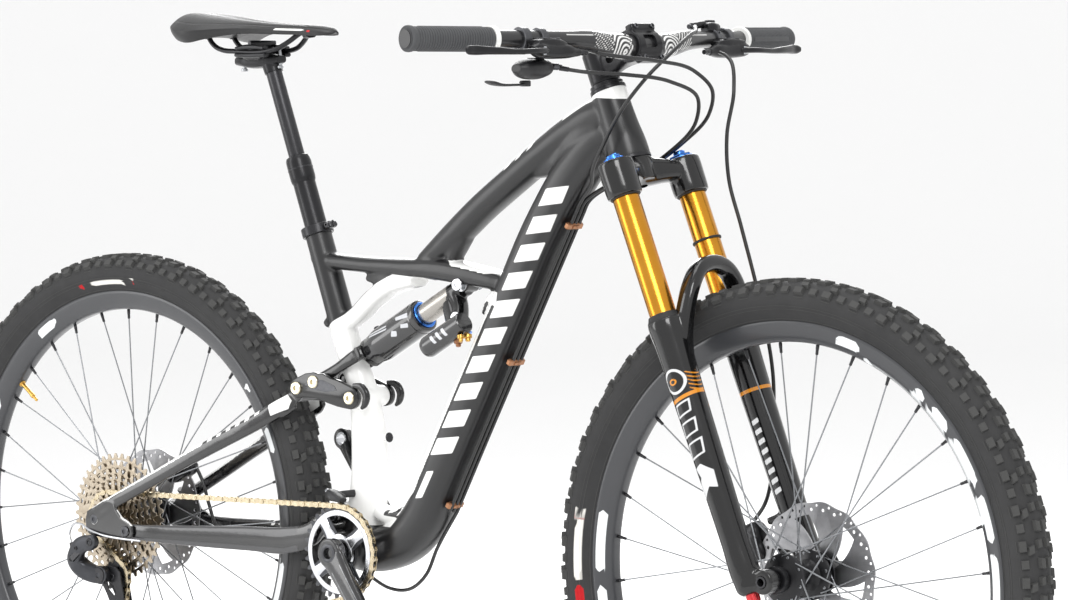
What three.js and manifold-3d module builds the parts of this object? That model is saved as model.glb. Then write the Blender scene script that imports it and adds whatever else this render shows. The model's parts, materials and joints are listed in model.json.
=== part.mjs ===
// Full-suspension mountain bike, 29 inch wheels, four-bar rear linkage.
// Millimetres, +Z up, +X forward, the drive side faces -Y.
// Everything is laid out from the ground point under the rear axle; the outer
// group then moves it so that the origin is the bottom centre of the whole bike.
import * as THREE from "three";
import { mergeVertices } from "three/addons/utils/BufferGeometryUtils.js";
import Module from "manifold-3d";

const wasm = await Module();
wasm.setup();

// ---------------------------------------------------------------- dimensions
const WHEELBASE = 1162;
const TYRE_R = 367;            // outer radius of a 29 x 2.3 tyre
const RIM_IN_R = 288;          // spoke bed
const WHEEL_SEGS = 24;
const SPOKES = 32;
const FRONT_NIPPLE_DEG = 5.3, REAR_NIPPLE_DEG = 46.8;
const HEAD_ANGLE = 67.7;       // degrees from the ground
const FORK_OFFSET = 51;        // axle ahead of the steering axis
const LEG_OFFSET = 26;         // fork legs ahead of the steering axis
const LEG_Y = 66;              // half distance between the fork legs
const STANCHION_R = 17;
const FORK_TRAVEL = 150;
const BB = [439.6, 350];       // bottom bracket centre (x, z)
const REAR_AXLE = [0, TYRE_R];
const CRANK_LEN = 175, CRANK_DEG = -51; // right arm, from +X towards +Z
const MAIN_PIVOT = [415, 398];
const HORST_PIVOT = [62, 354];
const STAY_PIVOT = [350, 563]; // seatstay to rocker
const ROCKER_PIVOT = [447, 554];
const YOKE_PIVOT = [381.4, 572.6];
const SHOCK_EYE = [625, 709.2];
const SEAT_TOP = [354.7, 775]; // top of the seat tube on its axis
const SEAT_DIR = [-0.3467, 0.938];
const POST_TRAVEL = 120;
const BAR_HALF = 375;
const BAR_CLAMP = [913.9, 1016.2];
const GAP = 0.35;

const rad = (d) => (d * Math.PI) / 180;
const V = (x, y, z) => new THREE.Vector3(x, y, z);
const U = V(-Math.cos(rad(HEAD_ANGLE)), 0, Math.sin(rad(HEAD_ANGLE)));  // up the steering axis
const W = V(Math.sin(rad(HEAD_ANGLE)), 0, Math.cos(rad(HEAD_ANGLE)));   // forward, square to it
const A0 = V(WHEELBASE, 0, TYRE_R).addScaledVector(W, -FORK_OFFSET);
// a point by height s up the steering axis, v ahead of it, y across
const SV = (s, v, y) => A0.clone().addScaledVector(U, s).addScaledVector(W, v).add(V(0, y, 0));
const SEAT = (w, n = 0, y = 0) => V(SEAT_TOP[0] + w * SEAT_DIR[0] + n * SEAT_DIR[1], y, SEAT_TOP[1] + w * SEAT_DIR[1] - n * SEAT_DIR[0]);
const SHOCK_LEN = Math.hypot(SHOCK_EYE[0] - YOKE_PIVOT[0], SHOCK_EYE[1] - YOKE_PIVOT[1]);
const SA = [(YOKE_PIVOT[0] - SHOCK_EYE[0]) / SHOCK_LEN, (YOKE_PIVOT[1] - SHOCK_EYE[1]) / SHOCK_LEN];
// a point by distance d down the shock, n below its axis, y across
const SH = (d, n = 0, y = 0) => V(SHOCK_EYE[0] + d * SA[0] - n * SA[1], y, SHOCK_EYE[1] + d * SA[1] + n * SA[0]);

// ------------------------------------------------------------------- helpers
function solid(geo) {
  const g = geo.clone();
  for (const k of Object.keys(g.attributes)) if (k !== "position") g.deleteAttribute(k);
  const m = mergeVertices(g, 1e-4);
  const t = [];
  const idx = m.index.array;
  for (let i = 0; i < idx.length; i += 3) {
    const [a, b, c] = [idx[i], idx[i + 1], idx[i + 2]];
    if (a !== b && b !== c && c !== a) t.push(a, b, c);
  }
  let s = new wasm.Manifold(new wasm.Mesh({ numProp: 3, vertProperties: new Float32Array(m.attributes.position.array), triVerts: new Uint32Array(t) }));
  if (s.volume() < 0) {
    for (let i = 0; i < t.length; i += 3) [t[i + 1], t[i + 2]] = [t[i + 2], t[i + 1]];
    s = new wasm.Manifold(new wasm.Mesh({ numProp: 3, vertProperties: new Float32Array(m.attributes.position.array), triVerts: new Uint32Array(t) }));
  }
  return s;
}
const join = (...p) => p.flat().reduce((a, b) => a.add(b));
const cut = (a, ...p) => p.flat().reduce((x, b) => x.subtract(b), a);
const both = (f) => [f(-1), f(1)];

const root = new THREE.Group();
const bike = new THREE.Group();
bike.position.x = -WHEELBASE / 2;
root.add(bike);

function put(name, s, color, roughness = 0.5, metalness = 0) {
  const m = s.getMesh(), n = m.numProp, v = new Float32Array(m.numVert * 3);
  for (let i = 0; i < m.numVert; i++) v.set(m.vertProperties.subarray(i * n, i * n + 3), i * 3);
  const g = new THREE.BufferGeometry().setAttribute("position", new THREE.BufferAttribute(v, 3)).setIndex(new THREE.BufferAttribute(m.triVerts, 1));
  g.computeVertexNormals();
  const mesh = new THREE.Mesh(g, new THREE.MeshStandardMaterial({ color, roughness, metalness }));
  mesh.name = name;
  bike.add(mesh);
}

// a body of revolution about the line from `at` along `dir`; profile is [radius, distance along]
function rev(profile, segs, at, dir, phi = 0) {
  const pts = profile.map(([r, a]) => new THREE.Vector2(Math.max(r, 0), a));
  const g = new THREE.LatheGeometry(pts, segs, phi);
  const q = new THREE.Quaternion().setFromUnitVectors(V(0, 1, 0), dir.clone().normalize());
  g.applyQuaternion(q).translate(at.x, at.y, at.z);
  return solid(g);
}
const rod = (a, b, r, segs = 12, r2 = r) => {
  const d = b.clone().sub(a), L = d.length();
  return rev([[0, 0], [r, 0], [r2, L], [0, L]], segs, a, d);
};
const yrod = (x, z, y0, y1, r, segs = 12) => rod(V(x, y0, z), V(x, y1, z), r, segs);
// a ring: outer radius ro, bore ri
const ring = (a, b, ri, ro, segs = 16) => {
  const d = b.clone().sub(a), L = d.length();
  return rev([[ri, 0], [ro, 0], [ro, L], [ri, L], [ri, 0]], segs, a, d);
};
function box(cx, cy, cz, sx, sy, sz, tiltDeg = 0) {
  const g = new THREE.BoxGeometry(sx, sy, sz);
  g.rotateY(rad(-tiltDeg)).translate(cx, cy, cz);
  return solid(g);
}
// a box whose long axis runs from a to b, width across Y, height square to both
function bar(a, b, wide, high) {
  const d = b.clone().sub(a), L = d.length();
  return loft([[...a.toArray(), high / 2, wide / 2, 20], [...b.toArray(), high / 2, wide / 2, 20]], 4);
}
// a tube whose section changes: rows of [x, y, z, half height, half width, squareness]
function loft(rows, segs = 12, lateral = V(0, 1, 0)) {
  const n = rows.length, P = rows.map((r) => V(r[0], r[1], r[2]));
  const frames = P.map((p, i) => {
    const t = P[Math.min(i + 1, n - 1)].clone().sub(P[Math.max(i - 1, 0)]).normalize();
    const b = lateral.clone().addScaledVector(t, -lateral.dot(t)).normalize();
    return { t, b, h: new THREE.Vector3().crossVectors(t, b) };
  });
  const g = new THREE.CylinderGeometry(1, 1, 1, segs, n - 1);
  const pos = g.attributes.position, off = segs === 4 ? Math.PI / 4 : 0, k = segs === 4 ? Math.SQRT2 : 1;
  for (let i = 0; i < pos.count; i++) {
    const x = pos.getX(i), z = pos.getZ(i);
    const row = Math.round((0.5 + pos.getY(i)) * (n - 1));
    const rr = Math.hypot(x, z), a = Math.atan2(z, x) + off;
    const [, , , ha, wa, e = 2] = rows[row];
    let c = Math.cos(a), s = Math.sin(a);
    if (segs === 4) { c *= k; s *= k; }
    else if (e !== 2) { const q = Math.pow(Math.pow(Math.abs(c), e) + Math.pow(Math.abs(s), e), -1 / e); c *= q; s *= q; }
    const f = frames[row];
    const p = P[row].clone();
    if (rr > 1e-6) p.addScaledVector(f.h, ha * c).addScaledVector(f.b, wa * s);
    pos.setXYZ(i, p.x, p.y, p.z);
  }
  return solid(g);
}
// a flat plate: outline in the X-Z plane, from y0 to y1
function plate(outline, y0, y1, holes = []) {
  const pts = outline.map(([x, z]) => new THREE.Vector2(x, z));
  if (THREE.ShapeUtils.area(pts) < 0) pts.reverse();
  const sh = new THREE.Shape(pts);
  for (const h of holes) sh.holes.push(new THREE.Path(h.map(([x, z]) => new THREE.Vector2(x, z))));
  const g = new THREE.ExtrudeGeometry(sh, { depth: Math.abs(y1 - y0), bevelEnabled: false });
  g.rotateX(Math.PI / 2).translate(0, Math.max(y0, y1), 0);
  return solid(g);
}
// a round cable along a smooth curve
function cable(points, r, steps, sides = 6) {
  const curve = new THREE.CatmullRomCurve3(points.map((p) => (p.isVector3 ? p : V(...p))), false, "centripetal");
  const sh = new THREE.Shape();
  for (let i = 0; i < sides; i++) {
    const a = (i / sides) * 2 * Math.PI;
    i ? sh.lineTo(r * Math.cos(a), r * Math.sin(a)) : sh.moveTo(r, 0);
  }
  sh.closePath();
  return solid(new THREE.ExtrudeGeometry(sh, { steps, extrudePath: curve, bevelEnabled: false }));
}
const arcPts = (cx, cz, r, a0, a1, n) => Array.from({ length: n + 1 }, (_, i) => {
  const a = rad(a0 + ((a1 - a0) * i) / n);
  return [cx + r * Math.cos(a), cz + r * Math.sin(a)];
});

// -------------------------------------------------------------------- wheels
const WPHI = Math.PI / WHEEL_SEGS;
const KR = 1 / Math.cos(WPHI); // keeps the flats, not the corners, at the stated radius
const TYRE_PROFILE = [
  [306.4, -13.6], [315.5, -13.6], [337, -29], [355, -25.5], [TYRE_R, -14],
  [TYRE_R, 14], [355, 25.5], [337, 29], [315.5, 13.6], [306.4, 13.6],
  [306.4, 9.6], [317, 10.4], [337, 24.5], [359, 10], [359, -10], [337, -24.5], [317, -10.4], [306.4, -9.6], [306.4, -13.6]];
const RIM_PROFILE = [
  [RIM_IN_R, -7], [RIM_IN_R, 7], [314, 17.5], [314, 14], [306, 14],
  [306, -14], [314, -14], [314, -17.5], [RIM_IN_R, -7]];
// radius of the flat-sided ring at angle a, for a ring whose flats are at r
const flatR = (a, r) => {
  const step = (2 * Math.PI) / WHEEL_SEGS, f = Math.PI / 2 - a - WPHI;
  return r / Math.cos(f - Math.floor(f / step) * step - step / 2);
};

function spokes(x, nipple0, holeR, rightY, leftY) {
  const parts = [rev([[286.2, -2.2], [287.3, -2.2], [287.3, 2.2], [286.2, 2.2], [286.2, -2.2]].map(([r, y]) => [r * KR, y]), WHEEL_SEGS, V(x, 0, TYRE_R), V(0, 1, 0), WPHI)];
  for (let k = 0; k < SPOKES; k++) {
    const side = k % 2 ? 1 : -1, lead = Math.floor(k / 2) % 2 ? 1 : -1;
    const a1 = rad(nipple0 + (360 / SPOKES) * k), a0 = a1 + lead * rad(66);
    const y0 = (side < 0 ? rightY : leftY) + side * (lead > 0 ? 2 : -2.4);
    const H = V(x + holeR * Math.cos(a0), y0, TYRE_R + holeR * Math.sin(a0));
    const nr = flatR(a1, 286.8), N = V(x + nr * Math.cos(a1), side * 0.6, TYRE_R + nr * Math.sin(a1));
    // start where the spoke is clear of the flange
    let t = 0;
    const far = (q) => { const p = H.clone().lerp(N, q); return Math.hypot(p.x - x, p.z - TYRE_R); };
    while (far(t) < holeR + 7) t += 0.002;
    parts.push(rod(H.clone().lerp(N, t), N, 1.25, 3));
  }
  return join(parts);
}
function rotor(x, y, r) {
  const c = V(x, 0, TYRE_R), t = 1.8, arms = [];
  for (let i = 0; i < 5; i++) {
    const a = rad(i * 72 + 15), b = a + rad(26);
    const p = V(x + 25 * Math.cos(a), y, TYRE_R + 25 * Math.sin(a));
    const q = V(x + (r - 12) * Math.cos(b), y, TYRE_R + (r - 12) * Math.sin(b));
    arms.push(loft([[...p.toArray(), 3.2, t / 2, 20], [...q.toArray(), 3.2, t / 2, 20]], 4));
  }
  return join(ring(V(x, y - t / 2, TYRE_R), V(x, y + t / 2, TYRE_R), r - 15, r, 22), ring(V(x, y - t / 2, TYRE_R), V(x, y + t / 2, TYRE_R), 17.5, 28, 14), arms);
}
for (const [name, x, nip] of [["front", WHEELBASE, FRONT_NIPPLE_DEG], ["rear", 0, REAR_NIPPLE_DEG]]) {
  const at = V(x, 0, TYRE_R), ax = V(0, 1, 0);
  put(name + "_tyre", rev(TYRE_PROFILE.map(([r, y]) => [r * KR, y]), WHEEL_SEGS, at, ax, WPHI), 0x1b1b1c, 0.85);
  put(name + "_rim", rev(RIM_PROFILE.map(([r, y]) => [r * KR, y]), WHEEL_SEGS, at, ax, WPHI), 0x2c2d2f, 0.35);
  put(name + "_spokes", spokes(x, nip, 27, name === "front" ? -28 : -22, name === "front" ? 24 : 28), 0x9a9a9a, 0.3, 1);
}
put("front_hub", rev([[8, -54.7], [11.5, -54.7], [11.5, -34], [30, -30.6], [30, -25.5], [13, -22], [13, 18], [30, 21.6], [30, 26.6], [20, 30], [20, 36.1], [11.5, 36.2], [11.5, 54.7], [8, 54.7], [8, -54.7]], 14, V(WHEELBASE, 0, TYRE_R), V(0, 1, 0)), 0x18181a, 0.3, 0.6);
// the rear hub carries the freehub body that the cassette turns on
put("rear_hub", rev([[6.6, -70.7], [11, -70.7], [11, -67], [16.2, -66.5], [16.2, -28], [30, -24.6], [30, -19.6], [13, -14], [13, 18], [30, 25.6], [30, 30.6], [20, 33], [20, 38.1], [11.5, 38.2], [11.5, 70.7], [6.6, 70.7], [6.6, -70.7]], 14, V(0, 0, TYRE_R), V(0, 1, 0)), 0x18181a, 0.3, 0.6);
put("front_rotor", cut(rotor(WHEELBASE, 37.4, 90), yrod(WHEELBASE, TYRE_R, 30, 45, 12.2, 14)), 0x8e9093, 0.35, 1);
put("rear_rotor", cut(rotor(0, 39.4, 90), yrod(0, TYRE_R, 30, 45, 12.2, 16)), 0x8e9093, 0.35, 1);
put("cassette", rev([[16.9, -65.6], [21, -65.6], [26, -59], [33, -54], [34, -46.4], [46, -45.4], [56, -40], [85, -31.8], [85, -29.4], [30, -31], [16.9, -31], [16.9, -65.6]], 20, V(0, 0, TYRE_R), V(0, 1, 0)), 0x8a7a66, 0.4, 0.9);

// ---------------------------------------------------------------- main frame
const HT0 = 567, HT1 = 664; // head tube, along the steering axis
const headTube = loft([[...SV(HT0, 0, 0).toArray(), 27, 27], [...SV(590, 0, 0).toArray(), 27, 26], [...SV(628, 0, 0).toArray(), 24, 23], [...SV(HT1, 0, 0).toArray(), 23, 22.5]], 14);
const topTube = loft([
  [560, 0, 741, 17.5, 18], [600, 0, 769, 18, 20], [655, 0, 811, 18, 21], [750, 0, 875, 19, 22],
  [800, 0, 906, 21, 23], [842, 0, 924, 26, 22], [876, 0, 930, 30, 20]], 8);
const downTube = loft([
  [884, 0, 908, 25, 21], [846, 0, 889, 26, 25], [808, 0, 851, 26.5, 27], [772, 0, 800, 26.5, 28],
  [577, 0, 450, 27, 29], [551, 0, 402, 28, 30], [516, 0, 368, 30, 31], [478, 0, 353.5, 30, 32], [441, 0, 350, 30, 34]], 8);
const seatTube = loft([
  [...SEAT(0).toArray(), 18, 18], [...SEAT(-195).toArray(), 18.2, 18.2], [432, 0, 576, 18.5, 18.5], [441, 0, 545, 20, 19.5], [447, 0, 506, 23, 20.5],
  [446, 0, 440, 24, 21.5], [441, 0, 380, 26, 26], [440, 0, 352, 26, 30]], 10);
const upperStrut = loft([
  [358, 0, 733, 9, 12], [400, 0, 731, 10, 15], [450, 0, 729, 10.5, 17], [520, 0, 728, 11, 19, 3], [590, 0, 726, 14, 21, 4],
  [650, 0, 719.5, 13.5, 21.5, 4], [700, 0, 712.5, 11, 20, 3], [722, 0, 712, 11, 17]], 8);
const lowerStrut = loft([[400, 0, 645, 12, 13], [432, 0, 663, 12, 15], [460, 0, 686, 12, 16], [490, 0, 703, 11.5, 17], [540, 0, 712, 10, 18]], 8);
const bbShell = yrod(BB[0], BB[1], -44.5, 44.5, 23.5, 14);
const pivotBoss = yrod(MAIN_PIVOT[0], MAIN_PIVOT[1], -24.2, 24.2, 14, 12);
const rockerBoss = yrod(ROCKER_PIVOT[0], ROCKER_PIVOT[1], -29, 29, 13, 12);
// short post on the lower seat tube where the front bottle-cage style stop sits
const stop = rod(V(462, 0, 500), V(483, 0, 500), 5, 8);
let frameSolid = join(headTube, topTube, downTube, seatTube, upperStrut, lowerStrut, bbShell, pivotBoss, rockerBoss, stop);
frameSolid = cut(frameSolid,
  rod(SV(HT0 - 5, 0, 0), SV(HT1 + 5, 0, 0), 16.5, 12),                       // head tube bore
  rod(SEAT(-190), SEAT(5), 15.9, 12),                                          // seat tube bore
  yrod(BB[0], BB[1], -60, 60, 13, 12),                                         // bottom bracket bore
  yrod(MAIN_PIVOT[0], MAIN_PIVOT[1], -60, 60, 6.6, 10),                        // main pivot bore
  yrod(ROCKER_PIVOT[0], ROCKER_PIVOT[1], -60, 60, 6.6, 10),                    // rocker pivot bore
  box(612, 0, 703, 76, 29, 42, 0),                                             // shock pocket
  yrod(SHOCK_EYE[0], SHOCK_EYE[1], -60, 60, 5.6, 10));                         // shock bolt hole
put("front_frame", frameSolid, 0x2b2b2d, 0.4);

// seat collar with its bolt lug
put("seat_collar", join(cut(join(rod(SEAT(-9), SEAT(3.5), 21.5, 16), box(SEAT(-3, 24).x, 0, SEAT(-3, 24).z, 14, 13, 10, 0)), rod(SEAT(-12), SEAT(8), 18.5, 16))), 0x161617, 0.4, 0.5);

// ------------------------------------------------------------- dropper post
put("dropper_outer", cut(
  join(rod(SEAT(-184), SEAT(92), 15.2, 12), rev([[0, 0], [15.4, 0], [17, 4], [17, 30], [15.5, 35], [0, 35]], 12, SEAT(67), V(SEAT_DIR[0], 0, SEAT_DIR[1]))),
  rod(SEAT(-164), SEAT(110), 11.6, 12)), 0x151516, 0.35, 0.4);
const RAIL_R = 3.5;
const railPath = (s, r, steps = 9, sides = 6) => cable([[178, s * 24, 1034], [186, s * 24, 1024], [203, s * 23, 1014.5], [225, s * 22, 1013], [285, s * 21, 1013.5], [305, s * 18, 1018], [325, s * 12, 1030], [336, s * 8, 1037]], r, steps, sides);
const railTie = (g) => join(yrod(335, 1036.5, -11 - g, 11 + g, 4 + g, 8));
const rails = join(both((s) => railPath(s, RAIL_R)), railTie(0));
const railsFat = join(both((s) => railPath(s, RAIL_R + 0.5)), railTie(0.5));
put("saddle_rails", rails, 0x1a1a1b, 0.3, 0.9);
const postTop = SEAT(238);
put("dropper_inner", cut(
  join(rod(SEAT(-34), postTop, 11, 12),
    loft([[208, 0, 1003, 7, 12], [228, 0, 1003, 9, 15, 3], [272, 0, 1004, 10, 16, 3], [292, 0, 1003, 7, 12]], 10),
    both((s) => box(255, s * 21, 1012, 58, 12, 14)), box(255, 0, 1008, 50, 40, 8)),
  railsFat), 0x161617, 0.35, 0.5);
const saddleBody = cut(loft([
  [121, 0, 1054, 8, 34], [130, 0, 1049, 18, 52, 2.4], [150, 0, 1045.5, 22.5, 66, 2.5], [172, 0, 1045.5, 22.5, 71.5, 2.5], [200, 0, 1047, 19, 66, 2.5], [230, 0, 1048, 14, 48, 2.5],
  [262, 0, 1045, 10.5, 33, 2.5], [300, 0, 1043.5, 9, 25, 2.5], [345, 0, 1042.5, 8.5, 20, 2.4], [378, 0, 1042, 8, 16, 2.2], [392, 0, 1040, 5, 9]], 10), railsFat);
put("saddle", saddleBody, 0x19191a, 0.55);

// ---------------------------------------------------------------- fork
const fu = U.clone();
const crownBody = join(
  both((s) => rod(SV(511, LEG_OFFSET, s * LEG_Y), SV(557, LEG_OFFSET, s * LEG_Y), 22.5, 12)),
  loft([[...SV(541, 25, -60).toArray(), 18, 12], [...SV(545, 18, -40).toArray(), 19, 12.5], [...SV(549, 4, 0).toArray(), 25, 16.5], [...SV(545, 18, 40).toArray(), 19, 12.5], [...SV(541, 25, 60).toArray(), 18, 12]], 8, U),
  rod(SV(545, 0, 0), SV(HT0 - 0.5, 0, 0), 26, 12),
  rod(SV(560, 0, 0), SV(711, 0, 0), 14.3, 10));
put("fork_crown", cut(crownBody, both((s) => rod(SV(500, LEG_OFFSET, s * LEG_Y), SV(570, LEG_OFFSET, s * LEG_Y), STANCHION_R + 0.8, 12))), 0x0d0d0e, 0.2);
for (const [n, s] of [["right", -1], ["left", 1]])
  put("stanchion_" + n, rev([[14.6, 0], [STANCHION_R, 0], [STANCHION_R, 356], [14.6, 356], [14.6, 0]], 14, SV(199, LEG_OFFSET, s * LEG_Y), U), 0xc9952f, 0.25, 0.9);
put("compression_dial", rev([[0, 0], [12, 0], [12.5, 3], [9, 9], [0, 9]], 12, SV(558, LEG_OFFSET, -LEG_Y), U), 0x1565c0, 0.3, 0.8);

const legRows = (s) => [[-6, 14, 15], [6, 18, 18], [170, 19.6, 19.6], [300, 22, 21.5], [348, 23.6, 23]].map(([h, a, b]) => [...SV(h, LEG_OFFSET, s * LEG_Y).toArray(), a, b]);
const arch = loft([[...SV(300, 33, -62).toArray(), 8, 12], [...SV(345, 50, -57).toArray(), 8, 12], [...SV(383, 64, -42).toArray(), 8, 12.5], [...SV(402, 69, -18).toArray(), 8, 11.5], [...SV(402, 69, 18).toArray(), 8, 11.5], [...SV(383, 64, 42).toArray(), 8, 12.5], [...SV(345, 50, 57).toArray(), 8, 12], [...SV(300, 33, 62).toArray(), 8, 12]], 8, W);
const lowers = cut(join(
  both((s) => loft(legRows(s), 12)), arch,
  rod(SV(0, FORK_OFFSET, -74), SV(0, FORK_OFFSET, -55.2), 15, 12), rod(SV(0, FORK_OFFSET, 55.2), SV(0, FORK_OFFSET, 80), 15, 12),
  both((s) => bar(SV(12, 26, s * 64), SV(2, 50, s * 64), 17, 26)),
  // two posts that carry the brake caliper
  bar(SV(46, 12, 58), SV(46, -8, 54), 9, 10), bar(SV(86, 12, 58), SV(86, -8, 54), 9, 10)),
  both((s) => rod(SV(45, LEG_OFFSET, s * LEG_Y), SV(355, LEG_OFFSET, s * LEG_Y), STANCHION_R + 0.7, 12)),
  rod(SV(0, FORK_OFFSET, -80), SV(0, FORK_OFFSET, 90), 7.9, 12));
put("fork_lowers", lowers, 0x0c0c0d, 0.15);
put("front_axle", join(rod(SV(0, FORK_OFFSET, -75.5), SV(0, FORK_OFFSET, 82), 7.4, 12), rod(SV(0, FORK_OFFSET, 80.5), SV(0, FORK_OFFSET, 91), 12, 12), bar(SV(0, FORK_OFFSET, 88), SV(44, 36, 88), 5, 10)), 0x1a1a1b, 0.4, 0.7);
const fcA = SV(66, -24, 0);
put("front_caliper", cut(join(box(fcA.x, 44.5, fcA.z, 30, 28, 52, 22), rod(V(fcA.x, 33, fcA.z), V(fcA.x, 22, fcA.z), 13, 12)), ring(V(WHEELBASE, 36, TYRE_R), V(WHEELBASE, 38.8, TYRE_R), 60, 93, 18)), 0x1c1c1e, 0.35, 0.5);
put("rebound_knob", rev([[0, 0], [7, 0], [8, 3], [8, 12], [0, 12]], 10, SV(-6.5, LEG_OFFSET, -LEG_Y), U.clone().negate()), 0xc01522, 0.35, 0.6);

// ---------------------------------------------------------------- cockpit
put("stem", cut(join(
  rod(SV(665, 0, 0), SV(672, 0, 0), 22, 12), rod(SV(671, 0, 0), SV(716, 0, 0), 19.5, 12),
  loft([[...SV(692, 5, 0).toArray(), 15, 15, 3], [...SV(694, 40, 0).toArray(), 14, 16, 3], [...SV(695, 55, 0).toArray(), 17, 22, 4]], 10),
  cut(ring(V(BAR_CLAMP[0], -24, BAR_CLAMP[1]), V(BAR_CLAMP[0], 24, BAR_CLAMP[1]), 16.6, 21.5, 16), solid(new THREE.BoxGeometry(60, 80, 80).translate(30.4, 0, 0).applyMatrix4(new THREE.Matrix4().makeBasis(W, V(0, 1, 0), U).setPosition(BAR_CLAMP[0], 0, BAR_CLAMP[1]))))),
  rod(SV(660, 0, 0), SV(712, 0, 0), 15, 12), yrod(BAR_CLAMP[0], BAR_CLAMP[1], -40, 40, 16.6, 16)), 0x141415, 0.35, 0.5);
const inFront = (d) => solid(new THREE.BoxGeometry(60, 80, 80).translate(30 + d, 0, 0).applyMatrix4(new THREE.Matrix4().makeBasis(W, V(0, 1, 0), U).setPosition(BAR_CLAMP[0], 0, BAR_CLAMP[1])));
put("stem_faceplate", join(ring(V(BAR_CLAMP[0], -24, BAR_CLAMP[1]), V(BAR_CLAMP[0], 24, BAR_CLAMP[1]), 16.6, 21.5, 16).intersect(inFront(1.2)),
  both((s) => rod(SV(695 + 21.8, 69, s * 16), SV(695 + 21.8, 76, s * 16), 4, 6)), both((s) => rod(SV(695 - 21.8, 69, s * 16), SV(695 - 21.8, 76, s * 16), 4, 6))), 0x141415, 0.35, 0.5);
const barAt = (y) => {
  const t = [[0, 913.9, 1016.2], [38, 913.9, 1016.2], [62, 912.2, 1018], [95, 908.8, 1023], [125, 905, 1024.4], [240, 883, 1025.3], [375, 858.3, 1026.1]], a = Math.abs(y);
  let i = 0;
  while (i < t.length - 2 && a > t[i + 1][0]) i++;
  const q = (a - t[i][0]) / (t[i + 1][0] - t[i][0]);
  return V(t[i][1] + q * (t[i + 1][1] - t[i][1]), y, t[i][2] + q * (t[i + 1][2] - t[i][2]));
};
const barR = (y) => { const a = Math.abs(y); return a <= 38 ? 15.9 : a >= 125 ? 11.1 : 15.9 - (4.8 * (a - 38)) / 87; };
const barRows = [-375, -240, -125, -95, -62, -38, 38, 62, 95, 125, 240, 375].map((y) => [...barAt(y).toArray(), barR(y), barR(y)]);
put("handlebar", loft(barRows, 12, V(1, 0, 0)), 0x151516, 0.4);
const gripDir = (s) => barAt(s * 375).sub(barAt(s * 240)).normalize();
for (const [n, s] of [["right", -1], ["left", 1]]) {
  put("grip_" + n, rev([[11.5, 0], [16.5, 0], [16.5, 7], [15, 8.5], [14.6, 12], [14.6, 126], [16, 129], [16, 133], [11.5, 133], [11.5, 0]], 14, barAt(s * 241.5), gripDir(s)), 0x3a3a3b, 0.8);
  // brake master cylinder: clamp round the bar, reservoir ahead of and below it
  const c = barAt(s * 200), d = gripDir(s), cb = c.clone().addScaledVector(d, -7);
  put("brake_master_" + n, cut(join(
    rod(cb, cb.clone().addScaledVector(d, 12), 15.5, 14),
    loft([[c.x + 30, s * 206, c.z - 12, 8, 8], [c.x + 28, s * 185, c.z - 14, 10, 10, 3], [c.x + 30, s * 150, c.z - 15, 9, 9, 3], [c.x + 33, s * 130, c.z - 16, 5, 5]], 8, V(1, 0, 0)),
    box(c.x + 17, s * 197, c.z - 9, 22, 11, 13)),
    rod(c.clone().addScaledVector(d, -30), c.clone().addScaledVector(d, 30), 11.5, 14),
    // slot for the lever blade
    box(c.x + 42, s * 207, c.z - 14, 30, 26, 9)), 0x151516, 0.35, 0.4);
  const L = V(c.x + 38, s * 203, c.z - 14);
  put("brake_lever_" + n, loft([[L.x - 2, s * 196, L.z, 5.5, 3.6, 3], [L.x + 4, s * 216, L.z, 5.5, 3.6, 3], [L.x + 3, s * 250, L.z - 1, 4, 4], [L.x - 4, s * 280, L.z, 4.5, 5.5], [L.x - 12, s * 318, L.z + 1, 4, 6.5], [L.x - 13, s * 326, L.z + 1, 2, 4]], 8, V(0, 0, 1)), 0x1d1d1f, 0.35, 0.5);
}
const sc = barAt(-172), sd = gripDir(-1);
put("shifter_pod", cut(join(rod(sc.clone().addScaledVector(sd, -5), sc.clone().addScaledVector(sd, 5), 14.5, 12), box(sc.x + 2, -173, sc.z - 18, 9, 9, 20),
  loft([[sc.x - 6, -150, sc.z - 34, 6, 10], [sc.x - 6, -162, sc.z - 35, 12, 17], [sc.x - 6, -186, sc.z - 36, 13, 19], [sc.x - 6, -203, sc.z - 35, 8, 12]], 10, V(1, 0, 0))),
  rod(sc.clone().addScaledVector(sd, -30), sc.clone().addScaledVector(sd, 30), 11.6, 12)), 0x2a2a2b, 0.45, 0.3);
put("shifter_paddle", join(rod(V(sc.x - 16, -180, sc.z - 57), V(sc.x - 16, -180, sc.z - 49.6), 7, 10), loft([[sc.x - 18, -182, sc.z - 54.5, 2, 6], [sc.x - 30, -205, sc.z - 55, 2, 6.5], [sc.x - 36, -222, sc.z - 52, 2, 8]], 6, V(1, 0, 0))), 0x303031, 0.5, 0.2);
const rc = barAt(168), rdv = gripDir(1);
put("dropper_remote", cut(join(rod(rc.clone().addScaledVector(rdv, -6), rc.clone().addScaledVector(rdv, 6), 14.5, 12), box(rc.x - 2, 168, rc.z + 14, 20, 16, 12), rod(V(rc.x - 6, 160, rc.z + 21), V(rc.x - 6, 130, rc.z + 17), 5, 8)),
  rod(rc.clone().addScaledVector(rdv, -30), rc.clone().addScaledVector(rdv, 30), 11.6, 12)), 0x171718, 0.4, 0.3);
put("dropper_lever", join(rod(V(rc.x - 8, 174, rc.z + 20.4), V(rc.x - 8, 174, rc.z + 25), 7, 10), loft([[rc.x - 10, 176, rc.z + 22.6, 2, 5], [rc.x - 22, 196, rc.z + 21, 2, 6], [rc.x - 28, 210, rc.z + 19, 2, 7]], 6, V(1, 0, 0))), 0x1a1a1b, 0.4, 0.3);

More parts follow.
